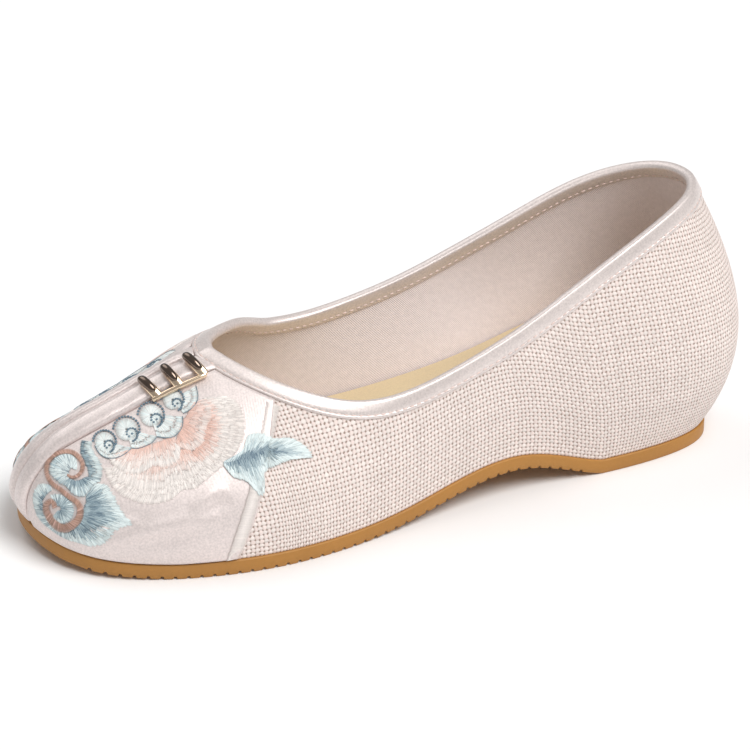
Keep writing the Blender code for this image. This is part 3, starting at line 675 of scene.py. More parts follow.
class Net:
    """Gathers points once each, with their pattern coordinates, and faces with the number of their look."""

    def __init__(self):
        self.points = []
        self.marks = []
        self.faces = []
        self.looks = []
        self.seen = {}

    def index(self, grid, cloth):
        """The numbers of a grid's points, adding those that are new."""
        grid = np.asarray(grid, float)
        flat = np.round(grid.reshape(-1, 3), 4).tolist()
        marks = [(0.0, 0.0, 0.0)] * len(flat) if cloth is None else np.reshape(cloth, (-1, 3)).tolist()
        found = []
        for point, mark in zip(flat, marks):
            key = tuple(point)
            if key not in self.seen:
                self.seen[key] = len(self.points)
                self.points.append(key)
                self.marks.append(mark)
            found.append(self.seen[key])
        return np.array(found).reshape(grid.shape[:-1]).tolist()

    def face(self, corners, look):
        """A face without the corners that fall together."""
        kept = [c for i, c in enumerate(corners) if c != corners[i - 1]]
        if len(set(kept)) > 2:
            self.faces.append(kept)
            self.looks.append(look)

    def sheet(self, grid, cloth=None, look=0):
        """Quads over a grid of points, rows by columns."""
        rows = self.index(grid, cloth)
        for a, b in zip(rows, rows[1:]):
            for i in range(len(a) - 1):
                self.face((a[i], a[i + 1], b[i + 1], b[i]), look)

    def slab(self, top, bottom, cloth=None, look=0):
        """A closed pad between two grids of the same size."""
        for grid in (top, bottom):
            self.sheet(grid, cloth, look)
        for cut in (np.s_[0, :], np.s_[-1, :], np.s_[:, 0], np.s_[:, -1]):
            edge = np.stack((top[cut], bottom[cut]))
            marks = None if cloth is None else np.stack((cloth[cut], cloth[cut]))
            self.sheet(edge, marks, look)

    def sweep(self, rings, cloth=None, look=0):
        """A closed tube through rings of points, capped at both ends."""
        rings = np.asarray(rings, float)
        closed = np.concatenate((rings, rings[:, :1]), 1)
        marks = None if cloth is None else np.concatenate((cloth, cloth[:, :1]), 1)
        self.sheet(closed, marks, look)
        for end in (0, -1):
            self.face(self.index(rings[end], None), look)

    def piece(self, name, looks, sharp=50.0):
        """The finished piece: faces turned out, shading soft but for real edges, riding on the shoe."""
        mesh = bpy.data.meshes.new(name)
        mesh.from_pydata((np.array(self.points) * MM).tolist(), [], self.faces)
        mesh.polygons.foreach_set("material_index", self.looks)
        mark = mesh.attributes.new("cloth", "FLOAT_VECTOR", "POINT")
        mark.data.foreach_set("vector", np.ravel(self.marks))
        work = bmesh.new()
        work.from_mesh(mesh)
        bmesh.ops.recalc_face_normals(work, faces=work.faces)
        work.to_mesh(mesh)
        work.free()
        mesh.shade_smooth()
        mesh.set_sharp_from_angle(angle=math.radians(sharp))
        for look in looks:
            mesh.materials.append(look)
        made = bpy.data.objects.new(name, mesh)
        bpy.context.scene.collection.objects.link(made)
        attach(made, "root")
        return made


def cloth_marks(grid, sign=1.0):
    """Pattern coordinates of a grid, in millimetres measured on the cloth."""
    up = np.linalg.norm(np.diff(grid, axis=1), axis=2)
    up = np.concatenate((np.zeros((len(grid), 1)), np.cumsum(up, 1)), 1)
    along = reaches(grid[:, grid.shape[1] // 2]) * sign
    along = np.broadcast_to(along[:, None], up.shape)
    return np.stack((along, up, 0 * up), -1)


# Linen upper, its rows closest round the heel and at the toe

LINEN_REST = 0.05        # foot of the linen above the outsole
LINEN_ROWS = np.concatenate((np.linspace(0, 2, 60), np.linspace(2.03, 10.4, 250)[:-1],
                             np.linspace(10.4, TIP, 16)))
LINEN_ROWS = np.sort(np.append(LINEN_ROWS, THROAT))
LINEN_STEPS = 40


def linen_upper(linen, lining):
    """One hollow shell: linen outside, twill inside, open at the collar and below."""
    outer = {}
    inner = {}
    marks = {}
    t = np.linspace(0, 1, LINEN_STEPS + 1)
    for side in (LATERAL, MEDIAL):
        start = height_to_v(side, LINEN_ROWS, lift(LINEN_ROWS) + SOLE_THICK + LINEN_REST)
        v = blend(start, rim(side, LINEN_ROWS), t)
        k = np.broadcast_to(LINEN_ROWS[:, None], v.shape)
        outer[side] = last(side, k, v)
        inner[side] = -WALL * steady(side, k, v)
        marks[side] = cloth_marks(outer[side], -side)
    shared = np.zeros(outer[LATERAL].shape[:2], bool)
    shared[0] = True
    shared[-1] = True
    shared[LINEN_ROWS >= THROAT, -1] = True
    net = Net()
    middle = (outer[LATERAL] + outer[MEDIAL]) / 2
    inward = (inner[LATERAL] + inner[MEDIAL]) / 2
    for side in (LATERAL, MEDIAL):
        face = np.where(shared[..., None], middle, outer[side])
        back = face + np.where(shared[..., None], inward, inner[side])
        net.sheet(face, marks[side], 0)
        net.sheet(back, marks[side], 1)
        net.sheet(np.stack((face[:, 0], back[:, 0])), np.stack((marks[side][:, 0],) * 2), 1)
        open_rows = LINEN_ROWS <= THROAT
        lip = np.stack((face[open_rows, -1], back[open_rows, -1]))
        net.sheet(lip, np.stack((marks[side][open_rows, -1],) * 2), 1)
    return net.piece("linen_upper", (linen, lining))


# Collar binding

BIND_OFF = 0.1           # slack of the folded strip on the linen
BIND_SIDE = 0.65         # thickness of the binding's two legs
BIND_DEPTH = 5.4         # how far the outer leg reaches below the collar edge
BIND_INSIDE = 4.8        # the same for the leg inside the shoe
BIND_ROLL = 0.9          # thickness of the binding over the edge
SEWN_OUTSIDE = 4.2       # groove of the running stitches below the collar edge
SEWN_INSIDE = 3.6        # the same inside the shoe
BIND_ROWS = np.concatenate((np.linspace(0, 1, 36), np.linspace(1.03, 6.4, 120), np.linspace(6.43, 6.94, 22),
                            (6.97, THROAT)))


def binding_section():
    """Outline of the folded strip: off the linen, and down from the collar edge."""
    near = BIND_OFF
    far = -(WALL + BIND_OFF)
    outer = near + BIND_SIDE
    inner = far - BIND_SIDE
    middle = (outer + inner) / 2
    half = (outer - inner) / 2
    crown = BIND_OFF + BIND_ROLL
    leg = ((near, BIND_DEPTH), (outer - 0.45, BIND_DEPTH), (outer - 0.14, BIND_DEPTH - 0.16))
    leg += ((outer, BIND_DEPTH - 0.5), (outer + 0.05, 4.5), (outer - 0.12, SEWN_OUTSIDE), (outer + 0.08, 3.7))
    leg += ((outer + 0.12, 2.6), (outer + 0.12, 1.5), (outer + 0.04, 0.6))
    roll = [(middle + half * math.cos(a), -crown * math.sin(a)) for a in np.linspace(0.12, math.pi - 0.12, 9)]
    back = ((inner, 0.6), (inner - 0.08, 1.7), (inner, 3.0), (inner + 0.14, SEWN_INSIDE))
    back += ((inner, BIND_INSIDE - 0.5), (inner + 0.2, BIND_INSIDE - 0.1))
    back += ((inner + 0.45, BIND_INSIDE), (far, BIND_INSIDE))
    return leg + tuple(roll) + back + ((far, -BIND_OFF), (near, -BIND_OFF))


def collar_binding(satin):
    """A satin strip folded over the collar edge, once round."""
    rings = CollarLoop(BIND_ROWS).rings(binding_section())
    rings = np.concatenate((rings, rings[:1]))
    rings = np.concatenate((rings, rings[:, :1]), 1)
    net = Net()
    net.sheet(rings, cloth_marks(rings))
    return net.piece("satin_binding", (satin,))


# Toe beams

BEAM_START = 7.26        # row at which the toe beams begin, just under the binding
BEAM_SLANT = {LATERAL: 0.56, MEDIAL: 0.24}   # how fast their ends draw back along the binding
BEAM_DRAWN = 5           # steps from the throat over which they draw back
BEAM_GROOVE = 0.35       # half the groove between the beams
BEAM_WIDTH = 6.4
BEAM_STEPS = 22
BEAM_FOOT = 0.35         # end of the beams above the outsole, beyond the clearance
BEAM_END = 3.0           # steps over which an end swells to its full height
BEAM_BLUNT = 0.6         # steps of that swell that are there from the start
BEAM_ROWS = 150          # points along a finished beam
BEAM_COLUMNS = 21        # points across it
PIPING_AT = 0.24         # pressed line beside the groove, in parts of the beam's width
PIPING_WIDE = 0.05
PIPING_DEPTH = 0.45
PUFF = 0.10              # unevenness of the padding

BeamLine = namedtuple("BeamLine", "name across height")
BEAM_LINES = (
    BeamLine("groove", 0.0, 1.2),
    BeamLine("shoulder", 0.17, 2.3),
    BeamLine("crown", 0.5, 2.8),
    BeamLine("fall", 0.82, 2.2),
    BeamLine("edge", 1.0, 0.9),
)


def beam_path():
    """Centre line of the toe: along the ridge, then down the front to the outsole."""
    ridge = crest(LATERAL, np.linspace(BEAM_START, TIP, 80))
    foot = float(height_to_v(LATERAL, TIP, lift(TIP) + SOLE_THICK + GAP + BEAM_FOOT))
    front = last(LATERAL, TIP, np.linspace(1.0, foot, 60))[1:]
    line = np.concatenate((ridge, front))
    reach = reaches(line)
    path = points_at(np.linspace(0, reach[-1], BEAM_STEPS + 1), reach, line)
    run = np.gradient(path, axis=0)
    for _ in range(3):
        run[1:-1] = (run[:-2] + 2 * run[1:-1] + run[2:]) / 4
    return path, unit(run)


class Finder:
    """Finds where a plane across the toe meets the last, at a distance from the centre line."""

    def __init__(self, side):
        self.side = side
        rows = np.linspace(TOE_START, TIP, 150)
        self.k, self.v = np.meshgrid(rows, np.linspace(0.0, 1.0, 110), indexing="ij")
        self.grid = last(side, self.k, self.v)

    def miss(self, p, centre, run, distance):
        """Square of a point's distance from the spot that is sought."""
        ahead = (p - centre) @ run
        beside = self.side * (p[..., 1] - centre[1]) - distance
        return ahead ** 2 + beside ** 2

    def find(self, centre, run, distance):
        """The nearest spot of the grid, then ten closer searches round it."""
        at = np.unravel_index(np.argmin(self.miss(self.grid, centre, run, distance)), self.k.shape)
        k = self.k[at]
        v = self.v[at]
        step_k = 0.04
        step_v = 0.012
        for _ in range(10):
            ks = np.clip(k + step_k * np.linspace(-1, 1, 7), TOE_START, TIP)
            vs = np.clip(v + step_v * np.linspace(-1, 1, 7), 0.0, 1.0)
            kk, vv = np.meshgrid(ks, vs, indexing="ij")
            miss = self.miss(last(self.side, kk, vv), centre, run, distance)
            at = np.unravel_index(np.argmin(miss), kk.shape)
            k = kk[at]
            v = vv[at]
            step_k *= 0.5
            step_v *= 0.5
        return k, v


def beside_path(side, distances):
    """Row and v of the last beside each step of the toe's centre line, at these distances from it."""
    finder = Finder(side)
    found = []
    for i, (p, r) in enumerate(zip(*beam_path())):
        slant = BEAM_SLANT[side] * max(0.0, 1.0 - i / BEAM_DRAWN)
        found.append([finder.find(p - r * slant * a, r, a) for a in distances])
    return np.array(found)


def finer(grid, count):
    """More rows through a grid's rows, on splines."""
    grid = np.asarray(grid, float)
    flat = grid.reshape(len(grid), -1)
    at = np.linspace(0, len(grid) - 1, count)
    fine = np.stack([Spline(flat[:, i], False, False)(at) for i in range(flat.shape[1])], -1)
    return fine.reshape((count,) + grid.shape[1:])


def finer_both(grid, rows, steps):
    """More rows, and more steps in each row, through a grid."""
    grid = np.swapaxes(finer(grid, rows), 0, 1)
    return np.swapaxes(finer(grid, steps), 0, 1)


def toe_beam(side, satin):
    """A padded satin strip beside the centre line, with a pressed line along its inner side."""
    share = np.array([line.across for line in BEAM_LINES])
    found = beside_path(side, BEAM_GROOVE + BEAM_WIDTH * share)
    foot = last(side, found[..., 0], found[..., 1])
    out = unit(np.cross(np.gradient(foot, axis=0), np.gradient(foot, axis=1)) * -side)
    level = np.cross(beam_path()[1], (0.0, 1.0, 0.0))
    level *= np.sign(np.sum(level * out[:, 2], axis=1))[:, None]
    share = share[None, :, None]
    lean = level[:, None, :] * (1 - share) + out * share
    foot = finer_both(foot, BEAM_ROWS, BEAM_COLUMNS)
    lean = unit(finer_both(lean, BEAM_ROWS, BEAM_COLUMNS))
    t = np.linspace(0, 1, BEAM_COLUMNS)
    at = finer(np.array([(line.across, line.height) for line in BEAM_LINES]), 60)
    piping = PIPING_DEPTH * np.exp(-((t - PIPING_AT) / PIPING_WIDE) ** 2)
    height = np.interp(t, at[:, 0], at[:, 1]) - piping
    i = np.linspace(0, BEAM_STEPS, BEAM_ROWS)
    from_end = np.minimum(i, BEAM_STEPS - i) + BEAM_BLUNT
    ease = np.sin(math.pi / 2 * np.minimum(1.0, from_end / BEAM_END))
    puff = PUFF * np.sin(i * 1.9) * np.sin(i * 0.7 + side)
    tall = height[None, :] * ease[:, None] + puff[:, None] * np.sin(math.pi * t)[None, :]
    top = foot + (GAP + tall)[..., None] * lean
    low = foot + GAP * lean
    net = Net()
    net.slab(top, low, cloth_marks(top))
    made = net.piece("satin_beam_" + named(side), (satin,))
    return made


# Satin toe panels

PANEL = 0.8              # satin and its backing
PANEL_EDGE = 0.15        # clearance of a panel's edge from beam, binding and outsole
PANEL_OFF = GAP + 0.05   # back of the panel off the linen
PANEL_ROLL = 0.9         # width over which a panel's edge rolls down
PANEL_THIN = 0.15        # least thickness, in the deepest crease
PANEL_TUCK = 0.3         # how much further out than the beam its edge along the binding ends
PANEL_LOWEST = 0.03      # v below which the beam's side is no longer followed
PANEL_FRONT = 0.12       # rows by which its foot ends short of its top
SEAM_FADE = 3.0          # steps from the seam over which the rows lose its bow
CREASE_SPAN = 62.0       # cloth from the sole to the ridge, by which a crease's width is turned into v
CREASE_WAVER = 0.012     # how far a crease wanders, in v
CREASE_RIDGE = 1.1       # ridge beside a trough, in parts of the trough's depth
CREASE_RIDGE_AT = 1.7    # its distance from the trough, in widths of the crease

Seam = namedtuple("Seam", "name row")
SEAM = (
    Seam("sole", 7.62),
    Seam("lower", 7.36),
    Seam("middle", 7.1),
    Seam("upper", 6.84),
    Seam("collar", 6.6),
)

Crease = namedtuple("Crease", "name row_start row_end v_start v_end width")
CREASES = (
    Crease("long", 7.75, 9.35, 0.17, 0.11, 2.6),
    Crease("short", 7.55, 8.15, 0.30, 0.25, 2.0),
    Crease("front", 8.75, 9.60, 0.20, 0.17, 2.2),
)


def panel_rows(side):
    """The panel cut from the last between the seam, the outsole and the beam: rows and steps of k and v."""
    edge = BEAM_GROOVE + BEAM_WIDTH + PANEL_EDGE
    loop = CollarLoop(np.append(np.linspace(0.0, 6.0, 13), np.linspace(6.2, THROAT, 41)))
    low_edge = np.stack(loop.below(BIND_DEPTH + PANEL_EDGE), -1)[loop.side == side]
    low_edge = low_edge[np.argsort(low_edge[:, 0])]
    ridge = crest(side, np.maximum(low_edge[:, 0], THROAT))
    beside = side * (last(side, low_edge[:, 0], low_edge[:, 1]) - ridge)[:, 1]
    low_edge = low_edge[(low_edge[:, 0] >= SEAM[-1].row) & (beside > edge + PANEL_TUCK)]
    low_edge = low_edge[np.linspace(0, len(low_edge) - 1, 8).astype(int)]
    top = np.concatenate((low_edge, beside_path(side, (edge,))[1:, 0]))
    top = top[top[:, 1] > PANEL_LOWEST]
    count = len(top)
    low = np.linspace(SEAM[0].row, top[-1, 0] - PANEL_FRONT, count)
    low = np.stack((low, height_to_v(side, low, lift(low) + SOLE_THICK + GAP + PANEL_EDGE)), -1)
    at = np.linspace(0, count - 1, 5 * (count - 1) + 1)
    top = points_at(at, np.arange(count), top)
    low = points_at(at, np.arange(count), low)
    t = np.concatenate((np.linspace(0, 0.04, 5), np.linspace(0.07, 0.93, 36), np.linspace(0.96, 1, 5)))
    seam = Spline([s.row for s in SEAM], False, False)
    k = blend(low[:, 0], top[:, 0], t)
    v = blend(low[:, 1], top[:, 1], t)
    bow = seam(t * (len(SEAM) - 1)) + (top[0, 0] - SEAM[-1].row) * t ** 4 - k[0]
    fade = ramp(at, SEAM_FADE, 0.0) ** 2
    return k + fade[:, None] * bow[None, :], v


def crease_depth(k, v):
    """Soft troughs over the toe, each with a low ridge beside it; in parts of the crease's depth."""
    depth = np.zeros(k.shape)
    for crease in CREASES:
        run = (k - crease.row_start) / (crease.row_end - crease.row_start)
        middle = crease.v_start + (crease.v_end - crease.v_start) * run + CREASE_WAVER * np.sin(run * 5.0)
        beside = (v - middle) * CREASE_SPAN / crease.width
        along = np.clip(1 - (2 * run - 1) ** 2, 0, 1)
        depth += along * (np.exp(-beside ** 2) - CREASE_RIDGE * np.exp(-(beside - CREASE_RIDGE_AT) ** 2))
    return depth


def toe_panel(side, satin, sizes):
    """A satin panel with rolled edges and the toe's creases."""
    k, v = panel_rows(side)
    marks = cloth_marks(last(side, k, v))
    total = np.max(marks[..., 1], axis=1, keepdims=True)
    from_side = np.minimum(marks[..., 1], total - marks[..., 1])
    from_seam = marks[..., 0]
    edge = ramp(np.minimum(from_side, from_seam), 0.0, PANEL_ROLL)
    roll = PANEL * (0.35 + 0.65 * np.sqrt(1 - (1 - edge) ** 2))
    crease = sizes.crease / MM * crease_depth(k, v)
    top = out_by(side, k, v, PANEL_OFF + np.maximum(roll - crease * edge, PANEL_THIN))
    low = out_by(side, k, v, PANEL_OFF)
    net = Net()
    net.slab(top, low, marks)
    return net.piece("satin_panel_" + named(side), (satin,))


# Outsole

RIB_START = 66.0         # first rib of the tread, from the back of the heel
RIB_END = 244.0          # end of the last groove
RIB_PITCH = 4.0
RIB_LAND = 2.6           # width of a rib on the floor
RIB_INSIDE = 0.25        # extra rows this far inside its edges, which keep its shading flat
RIB_RAMP = 0.4           # slope at each side of a groove
RIB_DEPTH = 0.8


def row_at(along):
    """The row at which the sole is this far from the heel."""
    return halving(SOLE["along"], along, TIP)


def join_ends(sides):
    """Brings the two sides together at the heel and at the toe."""
    for end in (0, -1):
        middle = (sides[LATERAL][end] + sides[MEDIAL][end]) / 2
        for side in (LATERAL, MEDIAL):
            sides[side][end] = middle


def sole_stations():
    """Rows of the outsole with the depth of the tread there."""
    stations = [(float(k), 0.0) for k in np.linspace(0.0, row_at(RIB_START - 1.0), 60)]
    ribs = int((RIB_END - RIB_START) / RIB_PITCH)
    for i in range(ribs):
        start = RIB_START + i * RIB_PITCH
        edge = start + RIB_LAND
        land = [(x, 0.0) for x in (start, start + RIB_INSIDE, edge - RIB_INSIDE, edge)]
        groove = [(x, RIB_DEPTH) for x in (edge + RIB_RAMP, start + RIB_PITCH - RIB_RAMP)]
        stations += [(float(row_at(x)), depth) for x, depth in land + groove]
    stations.append((float(row_at(RIB_START + ribs * RIB_PITCH)), 0.0))
    stations += [(float(k), 0.0) for k in np.linspace(row_at(RIB_END + 2.5), TIP, 26)]
    return stations


def gum_outsole(gum):
    """Ribbed sole with a rounded edge all the way round."""
    k, depth = np.array(sole_stations()).T
    base = lift(k)
    low = base + depth
    high = base + SOLE_THICK
    levels = (
        (-2.4, low),
        (-0.55, low),
        (-0.2, low + 0.14),
        (0.0, low + 0.5),
        (0.0, base + 0.45 * SOLE_THICK),
        (0.0, high - 0.7),
        (-0.12, high - 0.25),
        (-0.45, high),
        (-2.4, high),
    )
    sides = {}
    for side in (LATERAL, MEDIAL):
        foot = feather(side, k)
        out = outward(side, k)
        line = []
        for grow, z in levels:
            p = foot + (WELT + grow) * out
            line.append(np.stack((p[:, 0], p[:, 1], z), -1))
        sides[side] = np.stack(line, 1)
    join_ends(sides)
    net = Net()
    for side in (LATERAL, MEDIAL):
        net.sheet(sides[side])
    for level in (0, -1):
        net.sheet(blend(sides[LATERAL][:, level], sides[MEDIAL][:, level], np.linspace(0, 1, 7)))
    return net.piece("gum_outsole", (gum,), 35.0)


# Insole

FIT = 0.9                # clearance of the insole inside the upper
FOOT_INSET = 1.6         # how much narrower the insole is at its foot
DISH = 0.6               # hollow of its top
RIM_ROUND = 0.35         # rise from its rim

Footbed = namedtuple("Footbed", "name z")
FOOTBEDS = (
    Footbed("heel_back", 35.0),
    Footbed("heel_corner", 34.8),
    Footbed("heel_side", 33.4),
    Footbed("heel_breast", 29.5),
    Footbed("waist", 24.6),
    Footbed("shank", 16.4),
    Footbed("tread", 12.0),
    Footbed("ball", 9.4),
    Footbed("fore", 8.4),
    Footbed("toe_side", 9.0),
    Footbed("toe_corner", 10.8),
    Footbed("toe_tip", 12.6),
)
FOOTBED = columns(FOOTBEDS, (("z",), ("z",)))


def padded_insole(cloth):
    """Wedge under the foot, its top a little dished and its rim rounded."""
    rows = np.concatenate((np.linspace(0, 2, 30), np.linspace(2.1, 10.4, 90), np.linspace(10.5, TIP, 8)))
    steps = 4
    sides = {}
    for side in (LATERAL, MEDIAL):
        floor = lift(rows) + SOLE_THICK + GAP
        levels = blend(floor, FOOTBED["z"](rows), np.linspace(0, 1, steps + 1))
        k = np.broadcast_to(rows[:, None], levels.shape)
        inset = np.broadcast_to(-(WALL + FIT) - np.array((FOOT_INSET,) + (0.0,) * steps), levels.shape)
        v = height_to_v(side, k, levels)
        for _ in range(3):
            rise = out_by(side, k, v, inset)[..., 2] - last(side, k, v)[..., 2]
            v = height_to_v(side, k, levels - rise)
        wall = out_by(side, k, v, inset)
        sides[side] = np.stack((wall[..., 0], wall[..., 1], levels), -1)
    join_ends(sides)
    net = Net()
    for side in (LATERAL, MEDIAL):
        net.sheet(sides[side])
    across = np.linspace(0, 1, 19)
    arch = np.sin(math.pi * across)
    for level, shape in ((0, 0.0), (-1, RIM_ROUND * arch ** 0.5 - DISH * arch ** 2)):
        grid = blend(sides[LATERAL][:, level], sides[MEDIAL][:, level], across)
        grid[..., 2] += shape
        net.sheet(grid)
    made = net.piece("padded_insole", (cloth,))
    return made


# Gold ornament on the lateral beam

RAIL_ACROSS = 8.4         # distance of the ornament's rail from the centre line
RAIL_HEIGHT = 2.55        # middle of the rail above the upper
RAIL_THICK = 1.8
RAIL_ROWS = (7.30, 8.34)
RUNG_WIDE = 3.5
RUNG_HIGH = 1.6
DOME_WIDE = 3.2           # polished dome on each rung, darkened by a painted dark reflection
DOME_BASE = 0.4           # its foot above the rung's middle
DOME_HIGH = 1.45
DOME_ENDS = (7.3, 1.0)    # its two ends, as distances from the centre line
DOME_POINT = 0.985        # how near to a point its ends are drawn
DOME_ROUND = 2.4          # power by which its sides round off
RUNG_TAPER = (-0.35, 0.96)   # share of the rung's taper at the rail and at its tip
RUNG_ROUND = 2.6
CAP = ((0.5, 0.55), (0.3, 0.85))   # rounded end of a bar: how far out, and how wide there

Rung = namedtuple("Rung", "name far_row near_row")
RUNGS = (Rung("front", 8.37, 8.24), Rung("middle", 7.90, 7.78), Rung("back", 7.43, 7.31))

RungArch = namedtuple("RungArch", "name across height")
RUNG_ARCH = (
    RungArch("rail", 8.4, 2.6),
    RungArch("rise", 7.5, 3.1),
    RungArch("shoulder", 5.7, 4.0),
    RungArch("crown", 3.6, 4.4),
    RungArch("fall", 1.9, 4.1),
    RungArch("tip", 0.9, 3.5),
)


def above_beam(finder, k, across, height):
    """A point over the lateral beam, the way out there and the direction of the ridge."""
    centre = crest(LATERAL, k)
    run = unit(crest(LATERAL, k + 0.01) - crest(LATERAL, k - 0.01))
    at = finder.find(centre, run, across)
    out = steady(LATERAL, *at)
    level = np.cross((0.0, 1.0, 0.0), run)
    level *= np.sign(level[2])
    share = min(1.0, across / (BEAM_GROOVE + BEAM_WIDTH))
    out = unit(level * (1 - share) + out * share)
    return last(LATERAL, *at) + height * out, out, run


def bar_rings(path, across, wide, high, sides=14):
    """Rings of an oval bar along a path, with rounded ends; wide is one width or one for each ring."""
    run = unit(np.gradient(path, axis=0))
    across = square_to(across, run)
    up = np.cross(across, run)
    turn = np.linspace(0, 2 * math.pi, sides, endpoint=False)
    spread = np.broadcast_to(wide, len(path))[:, None, None] * np.cos(turn)[None, :, None]
    ring = spread * across[:, None] + high * np.sin(turn)[None, :, None] * up[:, None]
    first = [path[0] - run[0] * high * away + ring[0] * share for away, share in CAP]
    final = [path[-1] + run[-1] * high * away + ring[-1] * share for away, share in reversed(CAP)]
    return np.concatenate((first, path[:, None] + ring, final))


def dome_rings(path, across, out):
    """Rings of a long polished dome lying on a rung, pointed at both ends."""
    rings = []
    turn = np.linspace(0, math.pi, 11)
    for s, spot, wide_way, up in zip(np.linspace(-DOME_POINT, DOME_POINT, len(path)), path, across, out):
        round_off = (1 - abs(s) ** DOME_ROUND) ** 0.5
        wide = DOME_WIDE / 2 * round_off * np.cos(turn)
        high = DOME_BASE + DOME_HIGH * round_off * np.sin(turn)
        rings.append(spot + wide[:, None] * wide_way + high[:, None] * up)
    return np.array(rings)


def gold_ornament(gold, dark_reflection):
    """A rail with three rungs over the padded beam, each carrying a polished dome in a gold rim, its dark
    colour a painted reflection.
    """
    finder = Finder(LATERAL)
    net = Net()
    rail = [above_beam(finder, k, RAIL_ACROSS, RAIL_HEIGHT) for k in np.linspace(*RAIL_ROWS, 15)]
    path, out, along = (np.array(column) for column in zip(*rail))
    net.sweep(bar_rings(path, np.cross(along, out), RAIL_THICK / 2, RAIL_THICK / 2))
    arches = finer(np.array([(a.across, a.height) for a in RUNG_ARCH]), 31)
    held = (arches[:, 0] < DOME_ENDS[0]) & (arches[:, 0] > DOME_ENDS[1])
    taper = (1 - np.abs(np.linspace(*RUNG_TAPER, len(arches))) ** RUNG_ROUND) ** 0.5
    for rung in RUNGS:
        spots = []
        for across, height in arches:
            row = rung.far_row + (rung.near_row - rung.far_row) * across / RAIL_ACROSS
            spots.append(above_beam(finder, row, across, height))
        path, out, along = (np.array(column) for column in zip(*spots))
        net.sweep(bar_rings(path, along, RUNG_WIDE / 2 * taper, RUNG_HIGH / 2))
        net.sweep(dome_rings(path[held], along[held], out[held]), None, 1)
    return net.piece("gold_ornament", (gold, dark_reflection), 60.0)


# Camera, set by the photograph's square frame; lengths in millimetres, angles in degrees

FRAME_PIXELS = 750
SENSOR = 36.0
LENS = 144.0
VIEW_AZIMUTH = -23.0
VIEW_ELEVATION = 27.0
VIEW_DISTANCE = 1000.0
VIEW_AIM = np.array((REACH - 131.5, MIDDLE, 36.8))


def view_axes():
    """Eye, and the view's forward, right and up directions."""
    turn = math.radians(-VIEW_AZIMUTH)
    dip = math.radians(VIEW_ELEVATION)
    forward = np.array((math.sin(turn) * math.cos(dip), math.cos(turn) * math.cos(dip), -math.sin(dip)))
    right = np.array((math.cos(turn), -math.sin(turn), 0.0))
    return VIEW_AIM - VIEW_DISTANCE * forward, forward, right, np.cross(right, forward)


def pixels(points):
    """Where points in millimetres come in the photograph."""
    eye, forward, right, up = view_axes()
    d = points - eye
    scale = LENS / SENSOR * FRAME_PIXELS / (d @ forward)
    return np.stack((FRAME_PIXELS / 2 + scale * (d @ right), FRAME_PIXELS / 2 - scale * (d @ up)), -1)


SIGHT_OFF = 1.2          # face of the satin off the last
SIGHT_EDGE_ON = 50.0     # spread of the grid in the picture below which it is seen edge-on


class Sight:
    """Finds the row and v of the lateral toe that shows at a pixel of the photograph."""

    def __init__(self):
        rows = np.linspace(TOE_START, TOE_LIMIT, 260)
        heights = np.linspace(0.01, RIDGE_LIMIT, 150)
        self.k, self.v = np.meshgrid(rows, heights, indexing="ij")
        eye = view_axes()[0]
        spot = self.at(self.k, self.v)
        faces = np.sum((eye - spot) * steady(LATERAL, self.k, self.v), -1) > 0
        self.tree = KDTree(self.k.size)
        for i, p in enumerate(pixels(spot).reshape(-1, 2).tolist()):
            if faces.flat[i]:
                self.tree.insert((p[0], p[1], 0.0), i)
        self.tree.balance()

    def at(self, k, v):
        """The spot on the satin."""
        return out_by(LATERAL, k, v, SIGHT_OFF)

    def find(self, spots):
        """The nearest spot of the grid, then three steps closer along the last's slopes."""
        index = [self.tree.find((x, y, 0.0))[1] for x, y in spots.tolist()]
        k = self.k.flat[index]
        v = self.v.flat[index]
        for _ in range(3):
            step = 0.004
            here = pixels(self.at(k, v))
            dk = (pixels(self.at(k + step, v)) - here) / step
            dv = (pixels(self.at(k, v + step)) - here) / step
            miss = spots - here
            cross = dk[:, 0] * dv[:, 1] - dk[:, 1] * dv[:, 0]
            cross = np.where(np.abs(cross) < SIGHT_EDGE_ON, np.inf, cross)
            k = k + np.clip((miss[:, 0] * dv[:, 1] - miss[:, 1] * dv[:, 0]) / cross, -0.03, 0.03)
            v = v + np.clip((dk[:, 0] * miss[:, 1] - dk[:, 1] * miss[:, 0]) / cross, -0.01, 0.01)
            k = np.clip(k, TOE_START, 10.95)
            v = np.clip(v, 0.012, RIDGE_LIMIT)
        return k, v


# Embroidery, placed by what the photograph shows of it

SEAM_STITCH = 9.0        # longest stitch of the band over the seam
LONG_STITCH = 2.8        # longest stitch of leaves and petals
PETAL_START = -0.15      # where a petal's stitches begin, in parts of the way from its foot to its rim
PETAL_STRAY = 0.12       # how far the shades of a petal mingle
STITCH_REACH = (0.15, 12.0)   # stitches shorter or longer than this are left out
THREAD_OFF = 0.10        # middle of the first threads off the linen
THREAD_SUNK = 0.04       # how much deeper they lie on the satin
SEAM_CLIMB = 0.03        # rows over which they climb from the linen to the panel
LAYER_RISE = 0.08        # from one layer of threads to the next
CREASE_RISE = 0.9        # most that a crease's ridge lifts them
CUT_STRAY = 0.45         # how unevenly long and short stitches are cut, in parts of a stitch
LAP = 0.06               # how far one stitch runs under the next, in parts of the whole way
FLAT_STITCH = 0.75       # height of a stitch, in parts of its thickness
FLAT_KNOT = 0.7
FLAT_RUNNING = 0.8
CORD_SLANT = 0.18        # slant of the stitches across a cord, in parts of its width
CLOUD_DOTS = 15          # knots round a cloud
CLOUD_ARC = (185, 370)   # where their row starts and ends, in degrees
CLOUD_RING = 1.13        # its distance from the cloud's middle, in radii
CLOUD_FAN = 0.4          # where the fan below the cloud begins, in parts of the way to its edge
CLOUD_DISC = (0.06, 1.02)   # inner and outer end of the disc's stitches, in radii
SPIRAL_DOTS = 14         # knots of the spiral at the cloud's side
SPIRAL_AT = (0.38, 0.36)    # its middle, in radii
